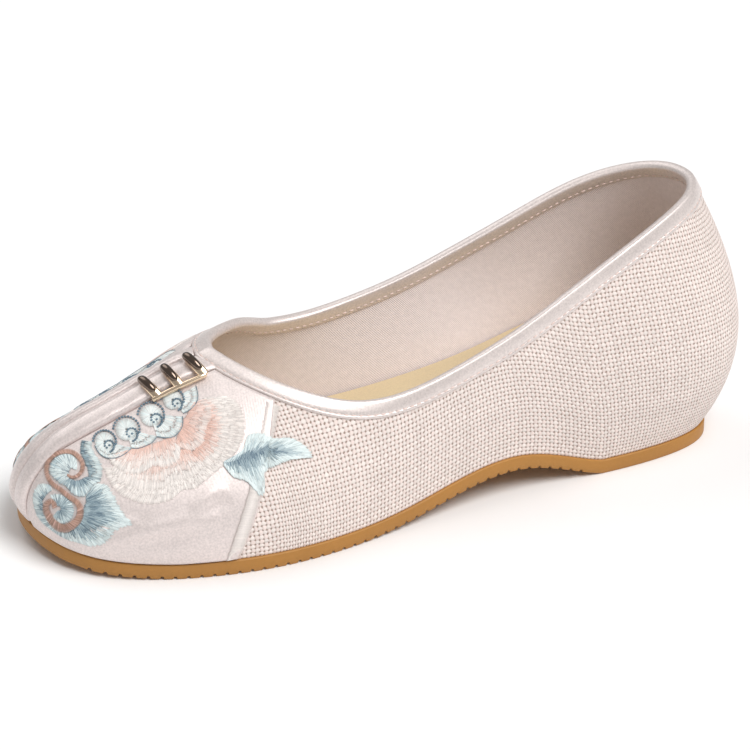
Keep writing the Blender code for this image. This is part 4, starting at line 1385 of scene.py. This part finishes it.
SPIRAL_TURN = 430        # its turn, in degrees
SPIRAL_START = 0.12      # its first distance from its middle, in radii
SPIRAL_GROWTH = 0.54

# A part of the photograph seen enlarged: its left and top pixel, and how many times
Crop = namedtuple("Crop", "left top scale")
TOE_CROP = Crop(10.0, 380.0, 8.711)
SEAM_CROP = Crop(140.0, 380.0, 8.2526)
WHOLE = Crop(0.0, 0.0, 1.0)

SCROLL = ((505, 830), (545, 850), (600, 830), (635, 770), (620, 700), (560, 640), (480, 625), (400, 650),
          (345, 700), (320, 770), (335, 850), (385, 915), (450, 960), (520, 1020), (580, 1060), (615, 1130),
          (595, 1215), (535, 1270), (460, 1290), (385, 1245), (335, 1175), (315, 1110), (340, 1062),
          (380, 1065), (395, 1110))
SCROLL_WIDE = (26, 44, 50, 46, 44, 46, 56, 78, 84, 62, 48)
CURL_HEART = ((72.2, 468.9), (71.7, 472.2), (70.6, 474.4))
CURL_RIM = ((77.5, 469.5), (77.8, 463.5), (75.0, 456.5), (67.8, 451.5), (60.2, 453.0), (53.4, 458.0),
            (49.0, 466.7), (50.2, 475.0), (57.0, 482.0), (64.4, 486.6))
FAN_HEART = ((70, 477.8), (75.6, 480), (81.1, 478.9), (85.6, 476.7))
FAN_RIM = ((62.2, 483.3), (70, 492.2), (76.7, 496.7), (83.3, 497.5), (89.0, 493.0), (96.0, 485.0),
           (101, 481.1))
STEM_LEFT = ((81.1, 440.6), (79.4, 448.9), (81.7, 457.8), (85.6, 466.7), (87.8, 474.4), (86.7, 478.9))
STEM_RIGHT = ((92.8, 442.2), (93.3, 448.9), (97.8, 456.7), (102.2, 464.4), (103.0, 474.4), (100.9, 482.2))
HEART_EDGE = ((86.7, 495.6), (87.8, 501.1), (86.7, 507.8), (85.6, 514.4), (81.1, 521.1), (75.6, 526.7))
HEART_RIM = ((96.8, 482.3), (106.7, 484.4), (113.3, 492.2), (120, 504.4), (126.7, 516.7), (132.8, 524.4),
             (122.2, 527.8), (113.3, 535.6), (106.7, 543.3), (95.6, 547.2), (85.6, 545.6))
LEAF_EDGE = ((75.6, 526.7), (67.8, 531.7), (60, 530), (53.3, 523.3), (47.8, 515.6), (44.4, 507.8),
             (43.3, 501.1), (46.7, 495.6), (51.7, 491.1))
LEAF_RIM = ((85.6, 545.6), (75.6, 542.8), (64.4, 538.9), (53.3, 532.2), (43.3, 524.4), (36.1, 515),
            (32.8, 503.3), (32.8, 493.3), (36.7, 485.6), (43.3, 482.8), (50.6, 485))
EYE_HEART = ((58.9, 507.8), (59.2, 508.5), (59.5, 509))
EYE_RIM = ((50, 494.5), (60, 493.5), (70, 499), (75, 507.8), (74, 516), (67, 523.5), (57.5, 523.5),
           (51.5, 519))

Cloud = namedtuple("Cloud", "name x y radius edge")
CLOUDS = (
    Cloud("first", 104.7, 442.1, 10.2, ((95, 446), (99, 453), (106, 458), (114.4, 458.5), (121.5, 456.4),
                                        (127.7, 452.3), (131.7, 448.3))),
    Cloud("second", 126.6, 429.9, 11.7,
          ((131.7, 448.3), (138.9, 448.8), (146, 446.2), (152.1, 443.2), (157.2, 437))),
    Cloud("third", 151.1, 415.6, 11.7, ((157.2, 437), (164.4, 438.1), (172.6, 437.6), (178.7, 433),
                                        (182.8, 425.8), (182.8, 416.6))),
    Cloud("fourth", 172.6, 400.3, 10.2,
          ((183.8, 413.6), (190.9, 409.5), (197, 402.3), (198, 394.2), (196, 386))),
)

Petal = namedtuple("Petal", "name foot rim shades layer")
PETALS = (
    Petal("far right", ((205, 398), (215, 420), (212, 445), (200, 465)),
          ((226, 396), (240, 404), (246, 425), (241, 446), (229, 462), (214, 474)), ("cream", "cream"), 0),
    Petal("far low", ((200, 465), (180, 478), (150, 484), (118, 468)),
          ((214, 474), (196, 489), (183, 491), (172, 500), (150, 505), (128, 500), (112, 488), (102, 468)),
          ("cream", "cream"), 0),
    Petal("second right", ((198, 402), (204, 420), (202, 440), (192, 455)),
          ((213, 397), (227, 410), (230, 432), (225, 450), (213, 464), (202, 468)),
          ("coral", "coral", "blush", "cream", "cream"), 1),
    Petal("second low", ((190, 450), (172, 456), (150, 462), (122, 456)),
          ((203, 468), (190, 479), (172, 483), (164, 489), (146, 492), (128, 486), (111, 470)),
          ("coral", "blush", "cream", "cream"), 1),
    Petal("first top", ((193, 403), (191, 412), (185, 422)), ((207, 399), (213, 414), (206, 431)),
          ("coral", "blush", "cream"), 2),
    Petal("first right", ((185, 422), (181, 433), (176, 441)),
          ((206, 431), (203, 445), (191, 451), (178, 447)),
          ("coral", "coral", "blush", "cream"), 2),
    Petal("first middle", ((174, 437), (164, 443), (153, 446)),
          ((181, 449), (178, 462), (165, 468), (152, 467)),
          ("coral", "blush", "cream", "cream"), 2),
    Petal("first left", ((151, 446), (138, 450), (122, 452)),
          ((152, 468), (138, 475), (120, 472), (106, 458)),
          ("coral", "blush", "cream", "cream"), 2),
)

SPRIG_VEIN = ((690, 690), (800, 670), (900, 630), (1000, 590), (1060, 580), (1200, 590))
SPRIG_UPPER = ((700, 670), (860, 560), (890, 460), (1000, 430), (1070, 460), (1180, 470), (1290, 480),
               (1400, 560), (1440, 640))
SPRIG_LOWER = ((700, 720), (790, 820), (890, 850), (1000, 965), (1035, 880), (1030, 770), (1130, 710),
               (1250, 660), (1440, 640))

SEAM_LEFT = ((266, 402), (258, 446), (248, 490), (225, 562))
SEAM_RIGHT = ((281, 406), (271, 453), (260, 500), (240, 562))

# Areas filled from an inner line to an outer one; start and stray as for the petals
Fill = namedtuple("Fill", "name crop inner outer shades layer start stray")
SEAM_FILL = Fill("seam band", WHOLE, SEAM_LEFT, SEAM_RIGHT, ("cream", "cream"), 2, 0.0, 0.0)
FILLS = (
    Fill("sprig upper", SEAM_CROP, SPRIG_VEIN, SPRIG_UPPER, ("slate", "mist", "ice", "ice"), 5, -0.08, 0.2),
    Fill("sprig lower", SEAM_CROP, SPRIG_VEIN, SPRIG_LOWER, ("slate", "mist", "ice", "ice"), 5, -0.08, 0.2),
    Fill("leaf", WHOLE, LEAF_EDGE, LEAF_RIM, ("slate", "mist", "ice", "ice"), 1, 0.0, 0.25),
    Fill("heart", WHOLE, HEART_EDGE, HEART_RIM, ("mist", "slate", "mist", "ice", "ice"), 1, -0.1, 0.2),
    Fill("stem", WHOLE, STEM_LEFT, STEM_RIGHT, ("slate", "mist", "ice", "ice"), 1, 0.0, 0.2),
    Fill("fan", WHOLE, FAN_HEART, FAN_RIM, ("slate", "mist", "ice"), 2, 0.0, 0.3),
    Fill("curl", WHOLE, CURL_HEART, CURL_RIM, ("slate", "ice", "ice", "mist"), 2, 0.1, 0.3),
    Fill("eye", WHOLE, EYE_HEART, EYE_RIM, ("slate", "mist", "ice"), 2, 0.1, 0.3),
)


def trace(line, crop, spacing=None, count=None):
    """Even points on a smooth line through listed spots, in the photograph's pixels."""
    spots = np.array(line, float)
    spots = np.stack((crop.left + spots[:, 0] / crop.scale, crop.top + spots[:, 1] / crop.scale), -1)
    fine = finer(spots, 40 * len(spots))
    reach = reaches(fine)
    count = count or max(3, int(reach[-1] / spacing))
    return points_at(np.linspace(0, reach[-1], count), reach, fine)


def around(degrees):
    """A step of length 1 in the picture, turned from its right towards its foot."""
    angle = math.radians(degrees)
    return np.array((math.cos(angle), math.sin(angle)))


class Needle:
    """Collects stitches and knots by their pixels, each with a shade and a layer."""

    def __init__(self, colours, seed):
        self.colours = colours
        self.chance = random.Random(seed)
        self.stitches = []
        self.knots = []

    def tone(self, shades, share, uneven=0.15):
        """A colour between the shades, a little uneven from thread to thread."""
        place = min(max(share, 0.0), 1.0) * (len(shades) - 1)
        i = min(int(place), len(shades) - 2)
        t = place - i
        first = getattr(self.colours, shades[i])
        second = getattr(self.colours, shades[i + 1])
        light = 0.97 + self.chance.uniform(-uneven, uneven)
        return [min(1.0, (a + (b - a) * t) * light) for a, b in zip(first, second)] + [1.0]

    def stitch(self, start, end, tint, layer):
        """One stitch from pixel to pixel."""
        self.stitches.append((start, end, tint, layer))

    def fill(self, fill, spacing, longest):
        """Long and short stitches from an inner line to an outer one, shaded on the way."""
        outer = trace(fill.outer, fill.crop, spacing)
        inner = trace(fill.inner, fill.crop, count=len(outer))
        for a, b in zip(inner, outer):
            reach = np.linalg.norm(b - a)
            pieces = max(1, int(reach * (1 - fill.start) / longest + self.chance.uniform(0.2, 0.9)))
            cuts = np.linspace(fill.start, 1.0, pieces + 1)
            cuts[1:-1] += [self.chance.uniform(-CUT_STRAY, CUT_STRAY) / pieces for _ in cuts[1:-1]]
            cuts[0] += self.chance.uniform(-0.02, 0.06)
            if pieces > 1:
                cuts[-1] += self.chance.uniform(-0.06, 0.03)
            for low, high in zip(cuts, cuts[1:]):
                share = (low + high) / 2 + self.chance.uniform(-fill.stray, fill.stray)
                low -= LAP if low > cuts[0] else 0.0
                tint = self.tone(fill.shades, share, 0.15 if fill.stray else 0.05)
                self.stitch(a + (b - a) * low, a + (b - a) * high, tint, fill.layer)

    def cord(self, line, crop, widths, shades, layer, spacing):
        """Close stitches across a line, for a raised cord that swells and thins."""
        path = trace(line, crop, spacing)
        run = unit(np.gradient(path, axis=0))
        wide = np.interp(np.linspace(0, 1, len(path)), np.linspace(0, 1, len(widths)), widths) / crop.scale
        across = np.stack((-run[:, 1], run[:, 0]), -1) * wide[:, None] / 2
        slant = run * wide[:, None] * CORD_SLANT
        for p, a, s in zip(path, across, slant):
            self.stitch(p - a - s, p + a + s, self.tone(shades, self.chance.uniform(0.0, 1.0)), layer)

    def outline(self, line, shades, layer, reach):
        """Stitches one after another along a line."""
        path = trace(line, WHOLE, reach)
        for a, b in zip(path, path[1:]):
            lap = (b - a) * 0.15
            self.stitch(a - lap, b + lap, self.tone(shades, self.chance.uniform(0.0, 0.6)), layer)

    def dot(self, spot, layer):
        """A round knot."""
        tint = self.tone(("slate", "mist"), self.chance.uniform(0.0, 0.25))
        self.knots.append((spot, tint, layer))

    def cloud(self, cloud, spacing):
        """A pale disc over a fan, with dots over the top and a spiral of dots at its side."""
        centre = np.array((cloud.x, cloud.y))
        radius = cloud.radius
        for spot in trace(cloud.edge, WHOLE, spacing):
            start = centre + (spot - centre) * CLOUD_FAN
            middle = centre + (spot - centre) * self.chance.uniform(0.68, 0.8)
            self.stitch(start, middle, self.tone(("cream", "ice", "mist"), self.chance.uniform(0.1, 0.6)), 2)
            self.stitch(middle, spot, self.tone(("cream", "ice", "mist"), self.chance.uniform(0.2, 0.6)), 2)
        self.outline(cloud.edge, ("slate", "mist"), 4, 4.0)
        count = int(2 * math.pi * radius * 0.8 / spacing)
        for i in range(count):
            way = around(360 * i / count) * radius
            shade = self.tone(("cream", "ice"), self.chance.uniform(0.5, 1.0))
            self.stitch(centre + way * CLOUD_DISC[0], centre + way * CLOUD_DISC[1], shade, 3)
        for turn in np.linspace(*CLOUD_ARC, CLOUD_DOTS):
            self.dot(centre + CLOUD_RING * radius * around(turn), 3)
        heart = centre + np.array(SPIRAL_AT) * radius
        for share in np.sqrt(np.linspace(0, 1, SPIRAL_DOTS)):
            reach = radius * (SPIRAL_START + SPIRAL_GROWTH * share)
            self.dot(heart + reach * around(SPIRAL_TURN * share), 4)


def on_satin(side, k, v):
    """0 for a spot on the linen, 1 for a spot on the toe panel."""
    rows, heights = panel_rows(side)
    edge = np.interp(v, heights[0], rows[0])
    return ramp(k, edge - SEAM_CLIMB, edge)


def on_cloth(side, k, v, layer, crease):
    """Spots on the toe panel, or on the linen behind it, raised by their layer of thread."""
    sunk = np.clip(crease * crease_depth(k, v), -CREASE_RISE, PANEL - PANEL_THIN)
    face = PANEL_OFF + PANEL - THREAD_SUNK - sunk
    return out_by(side, k, v, THREAD_OFF + face * on_satin(side, k, v) + LAYER_RISE * layer)


STITCH_TREE = "Thread stitches"


def stitch_tree():
    """Geometry nodes that lay one plump stitch on each point, along its run and on the cloth."""
    tree = bpy.data.node_groups.get(STITCH_TREE)
    if tree:
        return tree
    tree = bpy.data.node_groups.new(STITCH_TREE, "GeometryNodeTree")
    for name, way, kind in (
            ("Points", "INPUT", "Geometry"),
            ("Thickness", "INPUT", "Float"),
            ("Flatness", "INPUT", "Float"),
            ("Thread", "INPUT", "Material"),
            ("Stitches", "OUTPUT", "Geometry")):
        tree.interface.new_socket(name=name, in_out=way, socket_type="NodeSocket" + kind)

    def node(kind, settings, inputs, out=0):
        made = tree.nodes.new(kind)
        for key, value in settings.items():
            setattr(made, key, value)
        for key, value in inputs.items():
            if isinstance(value, bpy.types.NodeSocket):
                tree.links.new(value, made.inputs[key])
            else:
                made.inputs[key].default_value = value
        return made.outputs[out]

    given = tree.nodes.new("NodeGroupInput").outputs
    vector = {"data_type": "FLOAT_VECTOR"}
    run = node("GeometryNodeInputNamedAttribute", vector, {"Name": "run"})
    out = node("GeometryNodeInputNamedAttribute", vector, {"Name": "out"})
    reach = node("GeometryNodeInputNamedAttribute", {"data_type": "FLOAT"}, {"Name": "reach"})
    axes = {"primary_axis": "X", "secondary_axis": "Z"}
    turn = node("FunctionNodeAxesToRotation", axes, {0: run, 1: out})
    flat = node("ShaderNodeMath", {"operation": "MULTIPLY"}, {0: given["Thickness"], 1: given["Flatness"]})
    size = node("ShaderNodeCombineXYZ", {}, {"X": reach, "Y": given["Thickness"], "Z": flat})
    plump = node("GeometryNodeMeshUVSphere", {}, {"Segments": 6, "Rings": 4, "Radius": 0.5})
    lying = node("GeometryNodeTransform", {}, {"Geometry": plump, "Rotation": (0.0, math.pi / 2, 0.0)})
    each = {"Points": given["Points"], "Instance": lying, "Rotation": turn, "Scale": size}
    placed = node("GeometryNodeInstanceOnPoints", {}, each)
    real = node("GeometryNodeRealizeInstances", {}, {"Geometry": placed})
    smooth = node("GeometryNodeSetShadeSmooth", {}, {0: real})
    dressed = node("GeometryNodeSetMaterial", {}, {"Geometry": smooth, "Material": given["Thread"]})
    end = tree.nodes.new("NodeGroupOutput")
    tree.links.new(dressed, end.inputs["Stitches"])
    return tree


def sew(name, centres, runs, outs, tints, thickness, flatness, thread):
    """A piece of stitches from their middles, runs and ways out, all in millimetres."""
    mesh = bpy.data.meshes.new(name)
    mesh.from_pydata((np.asarray(centres) * MM).tolist(), [], [])
    reach = np.linalg.norm(runs, axis=1)
    for key, kind, field, values in (
            ("run", "FLOAT_VECTOR", "vector", runs),
            ("out", "FLOAT_VECTOR", "vector", outs),
            ("reach", "FLOAT", "value", reach * MM),
            ("tint", "FLOAT_COLOR", "color", tints)):
        mark = mesh.attributes.new(key, kind, "POINT")
        mark.data.foreach_set(field, np.ravel(np.asarray(values, float)))
    made = bpy.data.objects.new(name, mesh)
    bpy.context.scene.collection.objects.link(made)
    tree = stitch_tree()
    layer = made.modifiers.new("Stitches", "NODES")
    layer.node_group = tree
    given = {"Thickness": thickness, "Flatness": flatness, "Thread": thread}
    for item in tree.interface.items_tree:
        if item.in_out == "INPUT" and item.name in given:
            layer[item.identifier] = given[item.name]
    graph = bpy.context.evaluated_depsgraph_get()
    result = made.evaluated_get(graph)
    sewn = bpy.data.meshes.new_from_object(result, preserve_all_data_layers=True, depsgraph=graph)
    made.modifiers.remove(layer)
    made.data = sewn
    sewn.name = name
    if len(sewn.polygons) < len(mesh.vertices):
        raise RuntimeError(name + " has lost its stitches")
    bpy.data.meshes.remove(mesh)
    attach(made, "root")


def embroidery(sizes, colours, thread):
    """The flower, leaves, clouds and scroll on both toe panels."""
    needle = Needle(colours, sizes.seed)
    view_scale = LENS / SENSOR * FRAME_PIXELS / VIEW_DISTANCE
    spacing = sizes.spacing / MM * view_scale
    needle.fill(SEAM_FILL, spacing, SEAM_STITCH * view_scale)
    petals = [Fill(p.name, WHOLE, p.foot, p.rim, p.shades, p.layer, PETAL_START, PETAL_STRAY) for p in PETALS]
    for fill in (*petals, *FILLS):
        needle.fill(fill, spacing, LONG_STITCH * view_scale)
    for cloud in CLOUDS:
        needle.cloud(cloud, spacing)
    needle.cord(SCROLL, TOE_CROP, SCROLL_WIDE, ("copper", "bronze", "copper", "coral"), 4, spacing)
    sight = Sight()
    starts, ends, tints, layers = (np.array(column) for column in zip(*needle.stitches))
    spots, knot_tints, knot_layers = (np.array(column) for column in zip(*needle.knots))
    first = sight.find(starts)
    final = sight.find(ends)
    knots = sight.find(spots)
    crease = sizes.crease / MM
    for side in (LATERAL, MEDIAL):
        start = on_cloth(side, *first, layers, crease)
        end = on_cloth(side, *final, layers, crease)
        outs = steady(side, (first[0] + final[0]) / 2, (first[1] + final[1]) / 2)
        runs = end - start
        centres = (start + end) / 2
        reach = np.linalg.norm(runs, axis=1)
        keep = (reach > STITCH_REACH[0]) & (reach < STITCH_REACH[1])
        sew("embroidery_" + named(side), centres[keep], runs[keep], outs[keep], tints[keep],
            sizes.thread, FLAT_STITCH, thread)
        round_run = np.broadcast_to((sizes.knot / MM, 0.0, 0.0), (len(spots), 3))
        sew("knots_" + named(side), on_cloth(side, *knots, knot_layers, crease), round_run,
            steady(side, *knots), knot_tints, sizes.knot, FLAT_KNOT, thread)


STITCH_SHARE = 0.62      # part of the running stitches' pitch that shows as thread
STITCH_RISE = 0.04       # middle of the thread above its groove


def running_stitches(sizes, colours, thread):
    """A row of running stitches along the binding, outside the collar and inside."""
    centres = []
    runs = []
    outs = []
    tints = []
    chance = random.Random(sizes.seed)
    loop = CollarLoop(BIND_ROWS)
    pitch = sizes.running / MM
    skin = BIND_OFF + BIND_SIDE - 0.06
    for depth, offset, sign in ((SEWN_OUTSIDE, skin, 1.0), (SEWN_INSIDE, -WALL - skin, -1.0)):
        k, v = loop.below(depth)
        way = loop.ways(k, v)
        line = loop.on_side(last, k, v) + offset * way
        line = np.concatenate((line, line[:1]))
        way = np.concatenate((way, way[:1])) * sign
        reach = reaches(line)
        starts = np.arange(0.2, reach[-1] / pitch - 1.0) * pitch
        start = points_at(starts, reach, line)
        end = points_at(starts + STITCH_SHARE * pitch, reach, line)
        out = points_at(starts + STITCH_SHARE / 2 * pitch, reach, way)
        centres.append((start + end) / 2 + STITCH_RISE * out)
        runs.append(end - start)
        outs.append(out)
        for _ in starts:
            light = chance.uniform(0.92, 1.06)
            tints.append([min(1.0, c * light) for c in colours.blush] + [1.0])
    sew("running_stitches", np.concatenate(centres), np.concatenate(runs), np.concatenate(outs),
        np.array(tints), sizes.running_thread, FLAT_RUNNING, thread)


# Stage

FLOOR_HALF = 6.0         # half the floor's width, in metres
SKY = 0.33               # strength of the even light from all round

# Soft lights from far off; spread is a light's width in degrees
Light = namedtuple("Light", "name way strength spread tone")
LIGHTS = (
    Light("key", (0.36, -0.66, 1.1), 2.35, 38.0, (1.0, 0.99, 0.98)),
    Light("back", (-0.3, 0.7, 1.0), 0.6, 40.0, (1.0, 1.0, 1.0)),
)


def sun(light):
    """Hangs one of the lights."""
    data = bpy.data.lights.new(light.name, "SUN")
    data.energy = light.strength
    data.angle = math.radians(light.spread)
    data.color = light.tone
    lamp = bpy.data.objects.new(light.name, data)
    lamp.location = Vector(light.way)
    lamp.rotation_euler = (-Vector(light.way)).to_track_quat("-Z", "Y").to_euler()
    bpy.context.scene.collection.objects.link(lamp)


def floor_look():
    """Pale paper, faintly cloudy."""
    look = Look("Pale floor", {"Roughness": 0.95, "Specular IOR Level": 0.1})
    cloud = look.noise(look.place(), 3.0)
    look.feed("Base Color", look.mix(cloud, (0.955, 0.955, 0.96), (0.965, 0.965, 0.965)))
    return look.material


def stage():
    """Pale floor, soft studio light and the photograph's camera."""
    mesh = bpy.data.meshes.new("pale_floor")
    corners = [(x * FLOOR_HALF, y * FLOOR_HALF, 0) for x, y in ((-1, -1), (1, -1), (1, 1), (-1, 1))]
    mesh.from_pydata(corners, [], [(0, 1, 2, 3)])
    mesh.materials.append(floor_look())
    floor = bpy.data.objects.new("pale_floor", mesh)
    bpy.context.scene.collection.objects.link(floor)
    for light in LIGHTS:
        sun(light)
    world = bpy.data.worlds.new("Studio")
    world.use_nodes = True
    sky = world.node_tree.nodes["Background"]
    sky.inputs["Color"].default_value = (1.0, 1.0, 1.0, 1.0)
    sky.inputs["Strength"].default_value = SKY
    scene = bpy.context.scene
    scene.world = world
    scene.view_settings.view_transform = "Standard"
    eye, forward = view_axes()[:2]
    data = bpy.data.cameras.new("photo_camera")
    data.sensor_width = SENSOR
    data.lens = LENS
    data.clip_start = 0.05
    data.clip_end = 50.0
    camera = bpy.data.objects.new("photo_camera", data)
    camera.location = Vector((eye * MM).tolist())
    camera.rotation_euler = Vector(forward.tolist()).to_track_quat("-Z", "Y").to_euler()
    scene.collection.objects.link(camera)
    scene.camera = camera


# Operators, one for each piece or group of like pieces

class ShoeOperator:
    """What the shoe's operators share."""
    bl_options = {"REGISTER", "UNDO"}


class SHOE_OT_outsole(ShoeOperator, bpy.types.Operator):
    """Make the ribbed gum outsole"""
    bl_idname = "shoe.outsole"
    bl_label = "Gum outsole"

    def execute(self, context):
        colours = context.scene.shoe_colours
        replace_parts(gum_outsole(gum_look(colours)), "outsole")
        return {"FINISHED"}


class SHOE_OT_insole(ShoeOperator, bpy.types.Operator):
    """Make the wedge insole"""
    bl_idname = "shoe.insole"
    bl_label = "Insole"

    def execute(self, context):
        colours = context.scene.shoe_colours
        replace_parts(padded_insole(insole_look(colours)), "insole")
        return {"FINISHED"}


class SHOE_OT_upper(ShoeOperator, bpy.types.Operator):
    """Make the hollow linen upper with its twill lining"""
    bl_idname = "shoe.upper"
    bl_label = "Linen upper"

    def execute(self, context):
        sizes = context.scene.shoe_sizes
        colours = context.scene.shoe_colours
        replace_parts(linen_upper(linen_look(sizes, colours), lining_look(sizes, colours)), "upper")
        return {"FINISHED"}


class SHOE_OT_binding(ShoeOperator, bpy.types.Operator):
    """Fold the satin binding over the collar"""
    bl_idname = "shoe.binding"
    bl_label = "Collar binding"

    def execute(self, context):
        colours = context.scene.shoe_colours
        satin = satin_look("Binding satin", colours.binding, STRIP_ROUGH)
        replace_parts(collar_binding(satin), "collar_binding")
        return {"FINISHED"}


class SHOE_OT_toe(ShoeOperator, bpy.types.Operator):
    """Lay the satin toe panels and the padded beams between them"""
    bl_idname = "shoe.toe"
    bl_label = "Satin toe"

    def execute(self, context):
        sizes = context.scene.shoe_sizes
        colours = context.scene.shoe_colours
        panel = satin_look("Toe satin", colours.satin, PANEL_ROUGH)
        beam = satin_look("Beam satin", colours.satin, STRIP_ROUGH)
        for side in (LATERAL, MEDIAL):
            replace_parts(toe_panel(side, panel, sizes), "vamp_" + named(side))
            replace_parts(toe_beam(side, beam), "toe_beam_" + named(side))
        return {"FINISHED"}


class SHOE_OT_ornament(ShoeOperator, bpy.types.Operator):
    """Make the pale gold ornament on the lateral beam"""
    bl_idname = "shoe.ornament"
    bl_label = "Gold ornament"

    def execute(self, context):
        colours = context.scene.shoe_colours
        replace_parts(gold_ornament(gold_look(colours), dark_reflection_look(colours)), "ornament")
        return {"FINISHED"}


class SHOE_OT_stitching(ShoeOperator, bpy.types.Operator):
    """Sew the embroidery, the seam bands and the running stitches"""
    bl_idname = "shoe.stitching"
    bl_label = "Embroidery and stitches"

    def execute(self, context):
        sizes = context.scene.shoe_sizes
        colours = context.scene.shoe_colours
        thread = thread_look()
        embroidery(sizes, colours, thread)
        running_stitches(sizes, colours, thread)
        return {"FINISHED"}


class SHOE_OT_stage(ShoeOperator, bpy.types.Operator):
    """Set the pale floor, the soft light and the camera"""
    bl_idname = "shoe.stage"
    bl_label = "Stage"

    def execute(self, context):
        stage()
        return {"FINISHED"}


OPERATORS = (SHOE_OT_outsole, SHOE_OT_insole, SHOE_OT_upper, SHOE_OT_binding, SHOE_OT_toe, SHOE_OT_ornament,
             SHOE_OT_stitching, SHOE_OT_stage)


class SHOE_PT_sidebar(bpy.types.Panel):
    """Sizes, colours and steps of the shoe"""
    bl_idname = "SHOE_PT_sidebar"
    bl_label = "Embroidered cloth flat"
    bl_space_type = "VIEW_3D"
    bl_region_type = "UI"
    bl_category = "Shoe"

    def draw(self, context):
        for group in (context.scene.shoe_sizes, context.scene.shoe_colours):
            box = self.layout.box()
            for name in type(group).__annotations__:
                box.prop(group, name)
        for step in OPERATORS:
            self.layout.operator(step.bl_idname)


CLASSES = (ShoeSizes, ShoeColours) + OPERATORS + (SHOE_PT_sidebar,)


def register():
    for item in CLASSES:
        bpy.utils.register_class(item)
    bpy.types.Scene.shoe_sizes = bpy.props.PointerProperty(type=ShoeSizes)
    bpy.types.Scene.shoe_colours = bpy.props.PointerProperty(type=ShoeColours)


def unregister():
    del bpy.types.Scene.shoe_colours
    del bpy.types.Scene.shoe_sizes
    for item in reversed(CLASSES):
        bpy.utils.unregister_class(item)


def main():
    """Makes the pieces and the stage."""
    register()
    bpy.ops.shoe.outsole()
    bpy.ops.shoe.insole()
    bpy.ops.shoe.upper()
    bpy.ops.shoe.binding()
    bpy.ops.shoe.toe()
    bpy.ops.shoe.ornament()
    bpy.ops.shoe.stitching()
    bpy.ops.shoe.stage()


if __name__ == "__main__":
    main()
